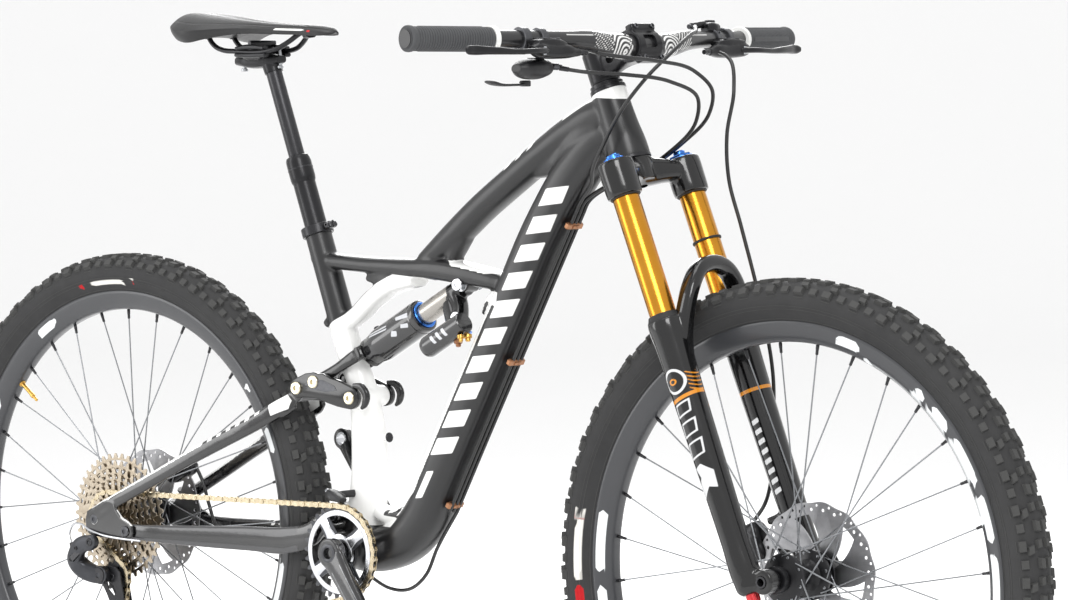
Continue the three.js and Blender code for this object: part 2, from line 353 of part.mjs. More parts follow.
// ------------------------------------------------------- hoses and housings
const DT = (z, off, y) => { const x = 577 + 0.557 * (z - 450); return [x + off * 0.8736, y, z - off * 0.4866]; };
const HOSE_R = 2.5;
const dtRun = (y) => cable([DT(822, 35, y), DT(700, 35, y), DT(600, 35.5, y), DT(500, 36, y), DT(428, 37, y)], HOSE_R, 4);

// the clips sit on bosses of the tube: a thin foot reaches towards it
const DTDIR = V(0.557, 0, 1).normalize();
const clipAt = (z) => {
  const c = V(...DT(z, 35, 0)), a = c.clone().addScaledVector(DTDIR, -6), b = c.clone().addScaledVector(DTDIR, 6);
  return loft([[...a.toArray(), 5.5, 14, 3], [...b.toArray(), 5.5, 14, 3]], 8);
};
put("downtube_cables", join([-8, 0, 8].map(dtRun), [806, 628, 436].map(clipAt)), 0x151516, 0.5);
const top = (y) => V(...DT(822, 35, y)).addScaledVector(DTDIR, 0.5);
const low = (y) => V(...DT(428, 37, y)).addScaledVector(DTDIR, -0.5);
const shY = -158;
put("rear_brake_hose_loop", cable([[947, -127, 1008], [962, -100, 1004], [975, -40, 998], [986, 20, 985], [990, 50, 962], [972, 66, 930], [930, 62, 892], [880, 42, 856], [848, 22, 840], top(8).addScaledVector(DTDIR, 14), top(8)], HOSE_R, 15), 0x121213, 0.5);
put("shift_housing_loop", cable([[900, -147, 990], [922, -120, 985], [952, -70, 981], [972, -10, 972], [978, 36, 952], [962, 52, 920], [920, 46, 880], [876, 30, 852], [846, 12, 838], top(0).addScaledVector(DTDIR, 14), top(0)], HOSE_R, 15), 0x121213, 0.5);
put("dropper_housing_loop", cable([[902, 127, 1040], [925, 100, 1036], [955, 50, 1030], [968, 0, 1010], [956, -34, 980], [925, -46, 940], [890, -42, 895], [862, -30, 862], [846, -14, 842], top(-8).addScaledVector(DTDIR, 14), top(-8)], HOSE_R, 15), 0x121213, 0.5);
put("front_brake_hose", cable([[947, 127, 1008], [972, 112, 1000], [992, 92, 960], [984, 88, 905], [985, 90, 850], [1003, 92, 790], [1030, 94, 700], [1052, 94, 600], [1052, 92, 520], [1058, 80, 468], [1064, 58, 442], V(fcA.x - 8, 45, fcA.z + 28)], HOSE_R, 17), 0x121213, 0.5);

// ---------------------------------------------------------- rear triangle
const [AX, AZ] = MAIN_PIVOT, [BX, BZ] = HORST_PIVOT;
const stayRows = (s) => [
  [AX, s * 34, AZ, 12, 4.5, 3], [395, s * 36, 385, 13, 4.8, 3], [375, s * 37.5, 368, 16, 5.5, 3], [330, s * 39.2, 357, 18, 6, 3],
  [200, s * 52, 354, 14.5, 7, 3], [120, s * 64, 353, 12, 6, 3], [84, s * 72, 353.5, 11, 3.5, 3], [BX, s * 73.2, BZ, 11, 1.6, 3]];
const chainstay = cut(join(
  both((s) => loft(stayRows(s), 8)),
  both((s) => yrod(AX, AZ, s * 24.7, s * 40, 15, 12)),
  both((s) => yrod(BX, BZ, s * 71.4, s * 75, 12, 12)),
  yrod(AX, AZ, -40, 40, 6, 10),                  // main pivot axle
  yrod(BX, BZ, -81.5, -72, 6, 10), yrod(BX, BZ, 72, 81.5, 6, 10),
  loft([[383, -40, 376, 12, 5.5, 4], [383, 40, 376, 12, 5.5, 4]], 8, V(1, 0, 0))));
put("chainstay", chainstay, 0x1a1a1b, 0.4);
const [CX, CZ] = STAY_PIVOT;
const seatRows = (s) => [
  [8, s * 77.5, 378, 9, 2.3, 3], [60, s * 74, 405, 9, 4, 3], [160, s * 62, 455.5, 10, 5.5, 3], [285, s * 43.5, 516, 11, 6, 3], [320, s * 35, 537, 12, 5.5, 3], [332, s * 25.9, 547, 10, 2.9, 3], [CX - 2, s * 25.2, CZ - 2, 10, 3.4, 3]];
const dropout = (s) => join(
  plate([[-16, 352], [-2, 344], [62, 340.5], [76, 348], [74, 364], [52, 372], [40, 392], [20, 392], [-16, 378]], s * 75.4, s * 80),
  yrod(0, TYRE_R, s * 71.2, s * 80, 14, 10));
const seatstay = cut(join(
  both((s) => loft(seatRows(s), 8)), both(dropout),
  both((s) => yrod(CX, CZ, s * 21.6, s * 28.9, 12.4, 12)),
  loft([[338, -28.6, 550, 8, 6], [338, 28.6, 550, 8, 6]], 8, V(1, 0, 0)),
  // posts for the rear caliper
  bar(V(28, 76, 388), V(28, 57, 400), 12, 9)),
  both((s) => yrod(CX, CZ, s * 20, s * 30, 8.3, 10)),
  yrod(BX, BZ, -90, -70, 6.6, 10), yrod(BX, BZ, 70, 90, 6.6, 10),
  yrod(0, TYRE_R, -90, 90, 6.6, 12));
put("seatstay", seatstay, 0x1a1a1b, 0.4);
put("rear_axle", join(yrod(0, TYRE_R, -80.2, 80.3, 6, 12), yrod(0, TYRE_R, 80.3, 83.5, 10, 12)), 0x222223, 0.4, 0.7);
const rcC = V(48, 0, 428);
put("rear_caliper", cut(join(box(rcC.x, 44, rcC.z, 48, 24, 28, 38), yrod(rcC.x, rcC.z, 30.5, 34, 12, 10)), ring(V(0, 38, TYRE_R), V(0, 40.8, TYRE_R), 30, 94, 24)), 0x1c1c1e, 0.35, 0.5);
put("rear_brake_hose_stay", cable([low(8).addScaledVector(DTDIR, -0.3), [560, 9, 358], [538, 12, 322], [505, 18, 300], [460, 26, 296], [420, 32, 308], [385, 39, 326], [340, 48, 330.5], [270, 50, 331], [200, 48, 332], [150, 47, 332], [118, 45, 350], [100, 45, 385], [90, 46, 412], [82, 46, 427]], HOSE_R, 17), 0x121213, 0.5);

// rocker link: two plates on one axle
const [RX, RZ] = ROCKER_PIVOT, [EX, EZ] = YOKE_PIVOT;
const rockOutline = [...arcPts(RX, RZ, 14.5, -90, 80, 6), [418, 578], ...arcPts(EX, EZ, 12.5, 70, 110, 2), ...arcPts(CX, CZ, 12.5, 105, 270, 6), [385, 552], [415, 542]];
const rocker = join(
  both((s) => plate(rockOutline, s * 29.6, s * 37.5)),
  yrod(RX, RZ, -38, 38, 6, 10),
  both((s) => yrod(EX, EZ, s * 22, s * 31, 4.5, 8)), both((s) => yrod(CX, CZ, s * 21.8, s * 31, 4.5, 8)),
  both((s) => [[RX, RZ], [EX, EZ], [CX, CZ]].map(([x, z]) => yrod(x, z, s * 36, s * 40.5, 8.5, 8))).flat());
put("rocker_link", rocker, 0x121213, 0.3, 0.3);

// shock
const shockDir = V(SA[0], 0, SA[1]);
put("shock_shaft", join(
  yrod(SHOCK_EYE[0], SHOCK_EYE[1], -13.6, 13.6, 10.5, 14), yrod(SHOCK_EYE[0], SHOCK_EYE[1], -21, 21, 5, 10),
  rod(SH(4, 0, 0), SH(36, 0, 0), 13.5, 14), rod(SH(30, 0, 0), SH(126, 0, 0), 14, 14),
  loft([[...SH(24, 4, 0).toArray(), 11, 12, 3], [...SH(20, 30, -12).toArray(), 12, 11, 3], [...SH(18, 52, -30).toArray(), 12, 11, 3]], 8),
  rod(SH(6, 52, -33), SH(76, 52, -33), 14.5, 14), rod(SH(76, 52, -33), SH(82, 52, -33), 14.5, 14, 9)), 0x9a9690, 0.3, 0.8);
put("shock_air_can", cut(rod(SH(88), SH(189), 23, 14), rod(SH(80), SH(183), 14.8, 14)), 0x101011, 0.3, 0.4);
put("shock_yoke", cut(join(
  rod(SH(189.5), SH(200), 20, 12),
  loft([[...SH(197, 0, -29).toArray(), 10, 5, 3], [...SH(197, 0, 29).toArray(), 10, 5, 3]], 8, V(SA[0], 0, SA[1])),
  both((s) => bar(SH(192, 0, s * 25.3), SH(SHOCK_LEN, 0, s * 25.3), 7, 18)),
  both((s) => yrod(EX, EZ, s * 21.7, s * 28.9, 12, 12))),
  both((s) => yrod(EX, EZ, s * 20, s * 30, 8.3, 10))), 0x121213, 0.3, 0.3);

// ------------------------------------------------------------- drivetrain
const ca = rad(CRANK_DEG), CE = [BB[0] + CRANK_LEN * Math.cos(ca), BB[1] + CRANK_LEN * Math.sin(ca)], CL = [2 * BB[0] - CE[0], 2 * BB[1] - CE[1]];
const arm = (e, s) => join(
  yrod(BB[0], BB[1], s * 58, s * 73, 20, 16),
  loft([[BB[0], s * 66, BB[1], 18, 7, 3], [BB[0] + 0.3 * (e[0] - BB[0]), s * 70, BB[1] + 0.3 * (e[1] - BB[1]), 15.5, 7, 3], [e[0], s * 77, e[1], 13.5, 6.5, 3]], 10),
  yrod(e[0], e[1], s * 70, s * 84, 15, 16));
put("crank_right", cut(join(arm(CE, -1), yrod(BB[0], BB[1], -60, 57.6, 12.4, 14), yrod(BB[0], BB[1], -57.8, -52.6, 19, 16)), yrod(CE[0], CE[1], -90, -60, 7, 12)), 0x1b1b1d, 0.3, 0.2);
put("crank_left", cut(arm(CL, 1), yrod(CL[0], CL[1], 60, 90, 7, 12)), 0x1b1b1d, 0.3, 0.2);
const spider = [];
for (let i = 0; i < 4; i++) { const a = rad(i * 90 + 35); spider.push(loft([[BB[0] + 20 * Math.cos(a), -50, BB[1] + 20 * Math.sin(a), 8, 1.9, 20], [BB[0] + 50 * Math.cos(a), -50, BB[1] + 50 * Math.sin(a), 6, 1.9, 20]], 4)); }
put("chainring", join(ring(V(BB[0], -52, BB[1]), V(BB[0], -48, BB[1]), 48, 58.5, 22), ring(V(BB[0], -52.3, BB[1]), V(BB[0], -47.7, BB[1]), 13, 24, 14), spider), 0xa5a6aa, 0.3, 0.9);

// chain: a closed band over ring, sprocket and the two jockey wheels
const J1 = [14, 286], J2 = [44, 204], JR = 22, SPR = 34;
const chainMid = [];
const push = (pts) => pts.forEach((p) => chainMid.push(p));
push(arcPts(BB[0], BB[1], 63, 91, -75.3, 11));
push(arcPts(J2[0], J2[1], JR, -75.3, -190.2, 7));
push(arcPts(J1[0], J1[1], JR, -10.2, 57.2, 4));
push(arcPts(0, TYRE_R, SPR + 4.5, -122.8, -269, 9));
const offsetLoop = (pts, d) => pts.map((p, i) => {
  const a = pts[(i + pts.length - 1) % pts.length], b = pts[(i + 1) % pts.length];
  const u1 = [p[0] - a[0], p[1] - a[1]], u2 = [b[0] - p[0], b[1] - p[1]];
  const l1 = Math.hypot(...u1), l2 = Math.hypot(...u2);
  const n = [u1[1] / l1 + u2[1] / l2, -u1[0] / l1 - u2[0] / l2], q = Math.hypot(...n);
  return [p[0] + (d * n[0]) / q, p[1] + (d * n[1]) / q];
});
put("chain", plate(offsetLoop(chainMid, -3.6), -47, -53, [offsetLoop(chainMid, 3.6)]), 0x9a8b72, 0.35, 1);
put("derailleur_body", join(
  yrod(2, 336, -92, -80.6, 10, 12), loft([[2, -87, 336, 10, 5, 3], [-22, -86, 330, 12, 6, 3], [-36, -80, 312, 12, 12, 3], [-30, -72, 296, 13, 12, 3], [-4, -67, 287, 12, 6, 3]], 8),
  yrod(J1[0] - 14, J1[1] + 2, -72, -60, 13, 10)), 0x2c2c2e, 0.35, 0.6);
const cageLine = [[J1[0] - 24, J1[1] + 12], [J1[0] + 10, J1[1] + 12], [J1[0] + 14, J1[1] - 4], [J2[0] + 13, J2[1] + 10], [J2[0] + 14, J2[1] - 8], [J2[0] - 2, J2[1] - 15], [J2[0] - 14, J2[1] - 6], [J1[0] - 18, J1[1] - 4]];
put("derailleur_cage", join(plate(cageLine, -59.4, -56.4), plate(cageLine, -46.4, -43.4).intersect(solid(new THREE.BoxGeometry(200, 100, 200).translate(20, -45, 200))),
  yrod(J1[0], J1[1], -58, -45, 2.6, 8), yrod(J2[0], J2[1], -58, -45, 2.6, 8), yrod(J1[0] - 19.5, J1[1] + 6, -58, -45, 2, 6)), 0x1b1b1c, 0.4, 0.4);
for (const [n, j] of [["jockey_upper", J1], ["jockey_lower", J2]])
  put(n, ring(V(j[0], -53.2, j[1]), V(j[0], -47, j[1]), 3, JR - 4.2, 12), 0x121213, 0.6);

export default root;
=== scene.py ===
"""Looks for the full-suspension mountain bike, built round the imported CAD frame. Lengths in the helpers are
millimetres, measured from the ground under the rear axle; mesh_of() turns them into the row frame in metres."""
import json, math, random
import bpy, bmesh
import numpy as np
from mathutils import Matrix, Vector
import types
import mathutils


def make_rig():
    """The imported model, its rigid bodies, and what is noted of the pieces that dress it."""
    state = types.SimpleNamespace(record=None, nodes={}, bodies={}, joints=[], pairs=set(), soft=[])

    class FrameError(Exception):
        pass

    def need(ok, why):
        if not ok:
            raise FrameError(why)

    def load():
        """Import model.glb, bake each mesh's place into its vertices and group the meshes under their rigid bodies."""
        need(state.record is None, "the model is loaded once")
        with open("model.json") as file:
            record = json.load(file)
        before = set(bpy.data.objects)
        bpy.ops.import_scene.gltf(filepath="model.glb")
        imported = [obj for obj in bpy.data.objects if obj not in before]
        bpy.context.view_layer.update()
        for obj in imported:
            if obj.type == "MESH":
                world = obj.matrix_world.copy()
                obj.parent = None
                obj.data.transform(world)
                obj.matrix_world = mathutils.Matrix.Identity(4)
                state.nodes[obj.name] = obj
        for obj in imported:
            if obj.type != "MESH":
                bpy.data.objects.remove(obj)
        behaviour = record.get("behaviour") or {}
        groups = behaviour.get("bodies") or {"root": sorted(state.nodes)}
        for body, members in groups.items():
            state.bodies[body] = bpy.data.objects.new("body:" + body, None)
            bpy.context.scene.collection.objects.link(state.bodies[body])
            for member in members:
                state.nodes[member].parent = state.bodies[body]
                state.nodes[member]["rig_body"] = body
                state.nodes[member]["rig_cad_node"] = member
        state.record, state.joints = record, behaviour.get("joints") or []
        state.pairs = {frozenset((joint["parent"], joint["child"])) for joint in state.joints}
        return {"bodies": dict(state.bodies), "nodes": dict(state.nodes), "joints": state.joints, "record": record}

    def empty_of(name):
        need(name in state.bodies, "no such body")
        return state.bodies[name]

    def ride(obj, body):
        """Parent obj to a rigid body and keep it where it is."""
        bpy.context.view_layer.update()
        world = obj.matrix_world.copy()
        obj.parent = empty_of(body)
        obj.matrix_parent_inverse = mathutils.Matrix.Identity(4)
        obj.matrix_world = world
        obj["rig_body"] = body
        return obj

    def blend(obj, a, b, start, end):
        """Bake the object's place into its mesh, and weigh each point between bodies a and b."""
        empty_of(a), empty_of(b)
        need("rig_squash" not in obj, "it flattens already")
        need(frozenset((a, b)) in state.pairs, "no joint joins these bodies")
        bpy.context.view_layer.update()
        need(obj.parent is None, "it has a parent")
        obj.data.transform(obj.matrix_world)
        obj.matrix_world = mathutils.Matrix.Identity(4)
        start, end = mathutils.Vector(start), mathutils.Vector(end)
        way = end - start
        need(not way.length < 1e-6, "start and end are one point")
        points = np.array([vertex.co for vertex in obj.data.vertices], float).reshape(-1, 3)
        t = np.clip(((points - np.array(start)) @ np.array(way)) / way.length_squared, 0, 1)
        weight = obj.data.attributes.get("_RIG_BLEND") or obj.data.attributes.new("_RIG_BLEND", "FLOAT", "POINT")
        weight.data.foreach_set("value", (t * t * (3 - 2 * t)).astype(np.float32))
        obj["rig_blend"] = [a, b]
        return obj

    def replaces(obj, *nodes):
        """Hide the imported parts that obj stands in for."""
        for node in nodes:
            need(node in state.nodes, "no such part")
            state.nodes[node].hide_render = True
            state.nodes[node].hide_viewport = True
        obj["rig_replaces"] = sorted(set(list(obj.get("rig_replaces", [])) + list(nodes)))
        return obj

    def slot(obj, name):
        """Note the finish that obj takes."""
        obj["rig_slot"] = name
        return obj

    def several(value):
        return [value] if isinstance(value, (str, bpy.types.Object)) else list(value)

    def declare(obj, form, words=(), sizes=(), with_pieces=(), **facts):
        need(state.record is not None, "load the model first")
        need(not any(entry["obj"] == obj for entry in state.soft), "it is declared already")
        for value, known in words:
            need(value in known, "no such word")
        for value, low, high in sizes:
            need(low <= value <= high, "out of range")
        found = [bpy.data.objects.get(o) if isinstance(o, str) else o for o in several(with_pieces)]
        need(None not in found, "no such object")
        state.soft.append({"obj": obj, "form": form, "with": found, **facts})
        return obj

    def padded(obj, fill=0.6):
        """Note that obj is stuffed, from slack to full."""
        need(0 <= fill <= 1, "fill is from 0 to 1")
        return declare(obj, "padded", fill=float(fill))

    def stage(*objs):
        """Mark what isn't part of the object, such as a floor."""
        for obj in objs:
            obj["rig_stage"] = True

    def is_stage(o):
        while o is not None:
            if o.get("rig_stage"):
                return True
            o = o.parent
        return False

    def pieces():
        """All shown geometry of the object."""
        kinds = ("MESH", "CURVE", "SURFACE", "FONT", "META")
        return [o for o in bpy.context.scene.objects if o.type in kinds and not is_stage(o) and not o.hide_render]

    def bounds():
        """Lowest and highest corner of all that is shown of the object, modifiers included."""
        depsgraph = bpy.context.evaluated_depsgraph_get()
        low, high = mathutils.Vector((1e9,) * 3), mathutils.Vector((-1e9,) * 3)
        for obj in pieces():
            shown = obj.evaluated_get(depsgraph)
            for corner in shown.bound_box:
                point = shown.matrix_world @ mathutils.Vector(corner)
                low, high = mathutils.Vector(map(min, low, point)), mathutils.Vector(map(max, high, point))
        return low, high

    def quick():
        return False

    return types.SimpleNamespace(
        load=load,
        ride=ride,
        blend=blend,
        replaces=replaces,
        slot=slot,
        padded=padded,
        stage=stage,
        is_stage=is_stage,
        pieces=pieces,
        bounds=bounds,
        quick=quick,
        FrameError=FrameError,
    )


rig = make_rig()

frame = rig.load()
CAD_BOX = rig.bounds()
OX = 581.0
random.seed(7)
NOFUSE = False

# ------------------------------------------------------------------ camera
scene = bpy.context.scene
cam_d = bpy.data.cameras.new("cam"); cam = bpy.data.objects.new("cam", cam_d)
scene.collection.objects.link(cam); scene.camera = cam
yaw, pitch, roll = math.radians(40.664), math.radians(-3.232), math.radians(-0.28)
fwd = Vector((-math.sin(yaw) * math.cos(pitch), math.cos(yaw) * math.cos(pitch), math.sin(pitch)))
rgt = Vector((math.cos(yaw), math.sin(yaw), 0)); upv = rgt.cross(fwd)
r2 = rgt * math.cos(roll) + upv * math.sin(roll); u2 = upv * math.cos(roll) - rgt * math.sin(roll)
m = Matrix((r2, u2, -fwd)).transposed().to_4x4(); m.translation = Vector((3.7155, -4.1425, 1.0005))
cam.matrix_world = m
cam_d.lens, cam_d.sensor_width = 143.6, 36.0
cam_d.clip_start, cam_d.clip_end = 0.1, 200

# ------------------------------------------------------------------ layout
HA = math.radians(67.7)
U = np.array([-math.cos(HA), 0, math.sin(HA)]); W = np.array([math.sin(HA), 0, math.cos(HA)])
Y = np.array([0, 1.0, 0])
A0 = np.array([1162.0, 0, 367]) - 51 * W
def SV(s, v=0, y=0): return A0 + s * U + v * W + np.array([0, y, 0])
SD = np.array([-0.3467, 0, 0.938]); SN = np.array([0.938, 0, 0.3467])
def SEAT(w, n=0, y=0): return np.array([354.7, y, 775]) + w * SD + n * SN
SE, YP = np.array([625, 709.2]), np.array([381.4, 572.6])
SL = float(np.hypot(*(SE - YP))); SA = (YP - SE) / SL; SDIR = np.array([SA[0], 0, SA[1]])
def SH(d, n=0, y=0): return np.array([SE[0] + d * SA[0] - n * SA[1], y, SE[1] + d * SA[1] + n * SA[0]])
BB, MP, HP, SP, RP = (439.6, 350), (415, 398), (62, 354), (350, 563), (447, 554)
def barAt(y):
    t = [(0, 913.9, 1016.2), (38, 913.9, 1016.2), (62, 912.2, 1018), (95, 908.8, 1023), (125, 905, 1024.4), (240, 883, 1025.3), (375, 858.3, 1026.1)]
    a = abs(y); i = 0
    while i < len(t) - 2 and a > t[i + 1][0]: i += 1
    q = (a - t[i][0]) / (t[i + 1][0] - t[i][0])
    return np.array([t[i][1] + q * (t[i + 1][1] - t[i][1]), y, t[i][2] + q * (t[i + 1][2] - t[i][2])])
DTDIR = np.array([0.557, 0, 1]) / math.hypot(0.557, 1)
def DT(z, off, y=0): return np.array([577 + 0.557 * (z - 450) + off * 0.8736, y, z - off * 0.4866])

# ------------------------------------------------------------------ mesh helpers
def unit(v): v = np.asarray(v, float); return v / np.linalg.norm(v)
def spl(P, sub):
    """Catmull-Rom through the rows of P, sub steps per span."""
    P = np.asarray(P, float); n = len(P)
    if n == 2 or sub == 1:
        t = np.linspace(0, 1, (sub if n == 2 else 1) + 1)
        return P if sub == 1 else np.array([P[0] + q * (P[1] - P[0]) for q in t])
    D = np.maximum(np.linalg.norm(np.diff(P[:, :3], axis=0), axis=1), 1e-6)
    T = np.zeros_like(P)
    T[1:-1] = ((P[1:-1] - P[:-2]) / D[:-1, None] * D[1:, None] + (P[2:] - P[1:-1]) / D[1:, None] * D[:-1, None]) / (D[1:] + D[:-1])[:, None]
    T[0] = (P[1] - P[0]) / D[0]; T[-1] = (P[-1] - P[-2]) / D[-1]
    out = []
    for i in range(n - 1):
        for k in range(sub):
            t = k / sub; h = D[i]
            out.append((2 * t**3 - 3 * t**2 + 1) * P[i] + (t**3 - 2 * t**2 + t) * h * T[i] + (-2 * t**3 + 3 * t**2) * P[i + 1] + (t**3 - t**2) * h * T[i + 1])
    out.append(P[-1]); return np.array(out)
def skin(rings, closed=False, caps=True):
    """rings: list of equal-length point loops -> chunk."""
    n, m = len(rings), len(rings[0]); v = np.concatenate(rings); f = []
    for i in range(n if closed else n - 1):
        a, b = i * m, ((i + 1) % n) * m
        for j in range(m):
            k = (j + 1) % m; f.append((a + j, a + k, b + k, b + j))
    if caps and not closed:
        f.append(tuple(range(m - 1, -1, -1))); f.append(tuple((n - 1) * m + j for j in range(m)))
    return v, f
def loft(rows, seg=28, sub=5, lat=Y, caps=True, soft=0):
    rows = [tuple(np.concatenate([np.asarray(r[0], float), r[1:]])) if np.ndim(r[0]) else tuple(r) for r in rows]
    R = spl([list(r) + [2.0] * (6 - len(r)) for r in rows], sub)
    P = R[:, :3]; n = len(P); rings = []; lat = np.asarray(lat, float)
    a = np.linspace(0, 2 * np.pi, seg, endpoint=False); c0, s0 = np.cos(a), np.sin(a)
    for i in range(n):
        t = unit(P[min(i + 1, n - 1)] - P[max(i - 1, 0)]); b = unit(lat - t * lat.dot(t)); h = np.cross(t, b)
        ha, wa, e = R[i, 3], R[i, 4], max(R[i, 5], 1.6)
        q = (np.abs(c0) ** e + np.abs(s0) ** e) ** (-1 / e)
        rings.append(P[i] + np.outer(ha * c0 * q, h) + np.outer(wa * s0 * q, b))
    return skin(rings, caps=caps)
def lathe(prof, at, d, seg=64, sub=1):
    """prof [(radius, along)]; closed loop if first == last, otherwise capped flat at its ends."""
    d = unit(d); x = unit(np.cross(d, [0.1, 0.33, 0.94] if abs(d[1]) < .9 else [1, 0, 0])); z = np.cross(d, x)
    loop = tuple(prof[0]) == tuple(prof[-1]); pr = list(prof[:-1]) if loop else [p for p in prof if p[0] > 1e-6]
    a = np.linspace(0, 2 * np.pi, seg, endpoint=False); ring = np.outer(np.cos(a), x) + np.outer(np.sin(a), z)
    rings = [np.asarray(at, float) + r * ring + h * d for r, h in pr]
    return skin(rings, closed=loop, caps=not loop)
def rod(a, b, r, seg=24, r2=None, bev=0.0):
    a, b = np.asarray(a, float), np.asarray(b, float); L = np.linalg.norm(b - a); r2 = r if r2 is None else r2
    if bev: return lathe([(r - bev, 0), (r, bev), (r2, L - bev), (r2 - bev, L)], a, b - a, seg)
    return lathe([(r, 0), (r2, L)], a, b - a, seg)
def yrod(x, z, y0, y1, r, seg=24, bev=0.0): return rod((x, y0, z), (x, y1, z), r, seg, bev=bev)
def ringc(a, b, ri, ro, seg=48, bev=0.4):
    a, b = np.asarray(a, float), np.asarray(b, float); L = np.linalg.norm(b - a); v = bev
    return lathe([(ri, 0), (ro - v, 0), (ro, v), (ro, L - v), (ro - v, L), (ri, L), (ri, 0)], a, b - a, seg)
def tube(pts, r, seg=12, sub=8, caps=True):
    P = spl(pts, sub); n = len(P); rings = []; a = np.linspace(0, 2 * np.pi, seg, endpoint=False)
    t0 = unit(P[1] - P[0]); b = unit(np.cross(t0, [0.3, 0.9, 0.2]))
    rr = r if np.ndim(r) else [r] * n
    for i in range(n):
        t = unit(P[min(i + 1, n - 1)] - P[max(i - 1, 0)]); b = unit(b - t * b.dot(t)); h = np.cross(t, b)
        rings.append(P[i] + rr[i] * (np.outer(np.cos(a), h) + np.outer(np.sin(a), b)))
    return skin(rings, caps=caps)
def obox(c, s, x=(1, 0, 0), y=(0, 1, 0), bev=1.0):
    """box of full size s along axes x, y, x cross y, with chamfered edges."""
    c = np.asarray(c, float); x = unit(x); y = unit(y); z = np.cross(x, y); h = np.asarray(s, float) / 2; b = min(bev, *(h * .9))
    def loop(hx, hy, k): 
        return [c + x * px + y * py + z * k for px, py in [(hx - b, -hy), (hx, -hy + b), (hx, hy - b), (hx - b, hy), (-hx + b, hy), (-hx, hy - b), (-hx, -hy + b), (-hx + b, -hy)]]
    hz = h[2]
    return skin([np.array(loop(h[0] - b, h[1] - b, -hz)), np.array(loop(h[0], h[1], -hz + b)), np.array(loop(h[0], h[1], hz - b)), np.array(loop(h[0] - b, h[1] - b, hz))])
def bolt(at, d, r, L, hexr=None, seg=24):
    """a bolt head along d with a hexagon socket."""
    d = unit(d); hexr = hexr or r * .5; at = np.asarray(at, float)
    x = unit(np.cross(d, [0.1, 0.33, 0.94] if abs(d[1]) < .9 else [1, 0, 0])); z = np.cross(d, x)
    a = np.linspace(0, 2 * np.pi, seg, endpoint=False); ring = np.outer(np.cos(a), x) + np.outer(np.sin(a), z)
    h6 = []
    for t in a:
        k = (t % (np.pi / 3)) - np.pi / 6; h6.append(math.cos(np.pi / 6) / math.cos(k))
    hx = ring * np.array(h6)[:, None]
    R = [at + ring * r, at + ring * r + d * (L - r * .16), at + ring * r * .86 + d * L, at + hx * hexr + d * L, at + hx * hexr + d * (L * .35)]
    return skin(R)
def plate(outline, y0, y1, holes=(), bev=0.5, res=1):
    """a plate lying in the X-Z plane, from y0 to y1, with holes and bevelled edges."""
    cu = bpy.data.curves.new("tmp", "CURVE"); cu.dimensions = "2D"; cu.fill_mode = "BOTH"
    y0, y1 = min(y0, y1), max(y0, y1)
    cu.extrude = (y1 - y0) / 2 - bev; cu.bevel_depth = bev; cu.bevel_resolution = 0 if res == 1 else res; cu.offset = -bev
    for pts in [outline, *holes]:
        s = cu.splines.new("POLY"); s.points.add(len(pts) - 1); s.use_cyclic_u = True
        for i, (px, pz) in enumerate(pts): s.points[i].co = (px, pz, 0, 1)
    ob = bpy.data.objects.new("tmp", cu); scene.collection.objects.link(ob)
    dg = bpy.context.evaluated_depsgraph_get(); me = bpy.data.meshes.new_from_object(ob.evaluated_get(dg))
    bm = bmesh.new(); bm.from_mesh(me); bmesh.ops.remove_doubles(bm, verts=bm.verts, dist=1e-3); bmesh.ops.dissolve_degenerate(bm, edges=bm.edges, dist=1e-4); bm.to_mesh(me); bm.free()
    v = np.array([(p.co.x, (y0 + y1) / 2 + p.co.z, p.co.y) for p in me.vertices]); f = [tuple(reversed(p.vertices)) for p in me.polygons]
    bpy.data.objects.remove(ob); bpy.data.curves.remove(cu); bpy.data.meshes.remove(me)
    return v, f
def circ(x, z, r, n=24, a0=0.0): return [(x + r * math.cos(a0 + 2 * math.pi * i / n), z + r * math.sin(a0 + 2 * math.pi * i / n)) for i in range(n)]
def arc(cx, cz, r, a0, a1, n): return [(cx + r * math.cos(math.radians(a0 + (a1 - a0) * i / n)), cz + r * math.sin(math.radians(a0 + (a1 - a0) * i / n))) for i in range(n + 1)]
def merge(*ch):
    flat = []
    for c in ch: flat += c if isinstance(c, list) else [c]
    V, F, k = [], [], 0
    for v, f in flat: V.append(np.asarray(v, float)); F += [tuple(i + k for i in q) for q in f]; k += len(v)
    return np.concatenate(V), F
def mirror(ch): v, f = ch; v = np.array(v, float); v[:, 1] *= -1; return v, [tuple(reversed(q)) for q in f]
def turned(ch, at, axis, ang):
    v, f = ch; R = np.array(Matrix.Rotation(ang, 3, Vector(axis))); at = np.asarray(at, float); return (np.asarray(v) - at) @ R.T + at, f
def moved(ch, d): v, f = ch; return np.asarray(v) + np.asarray(d, float), f

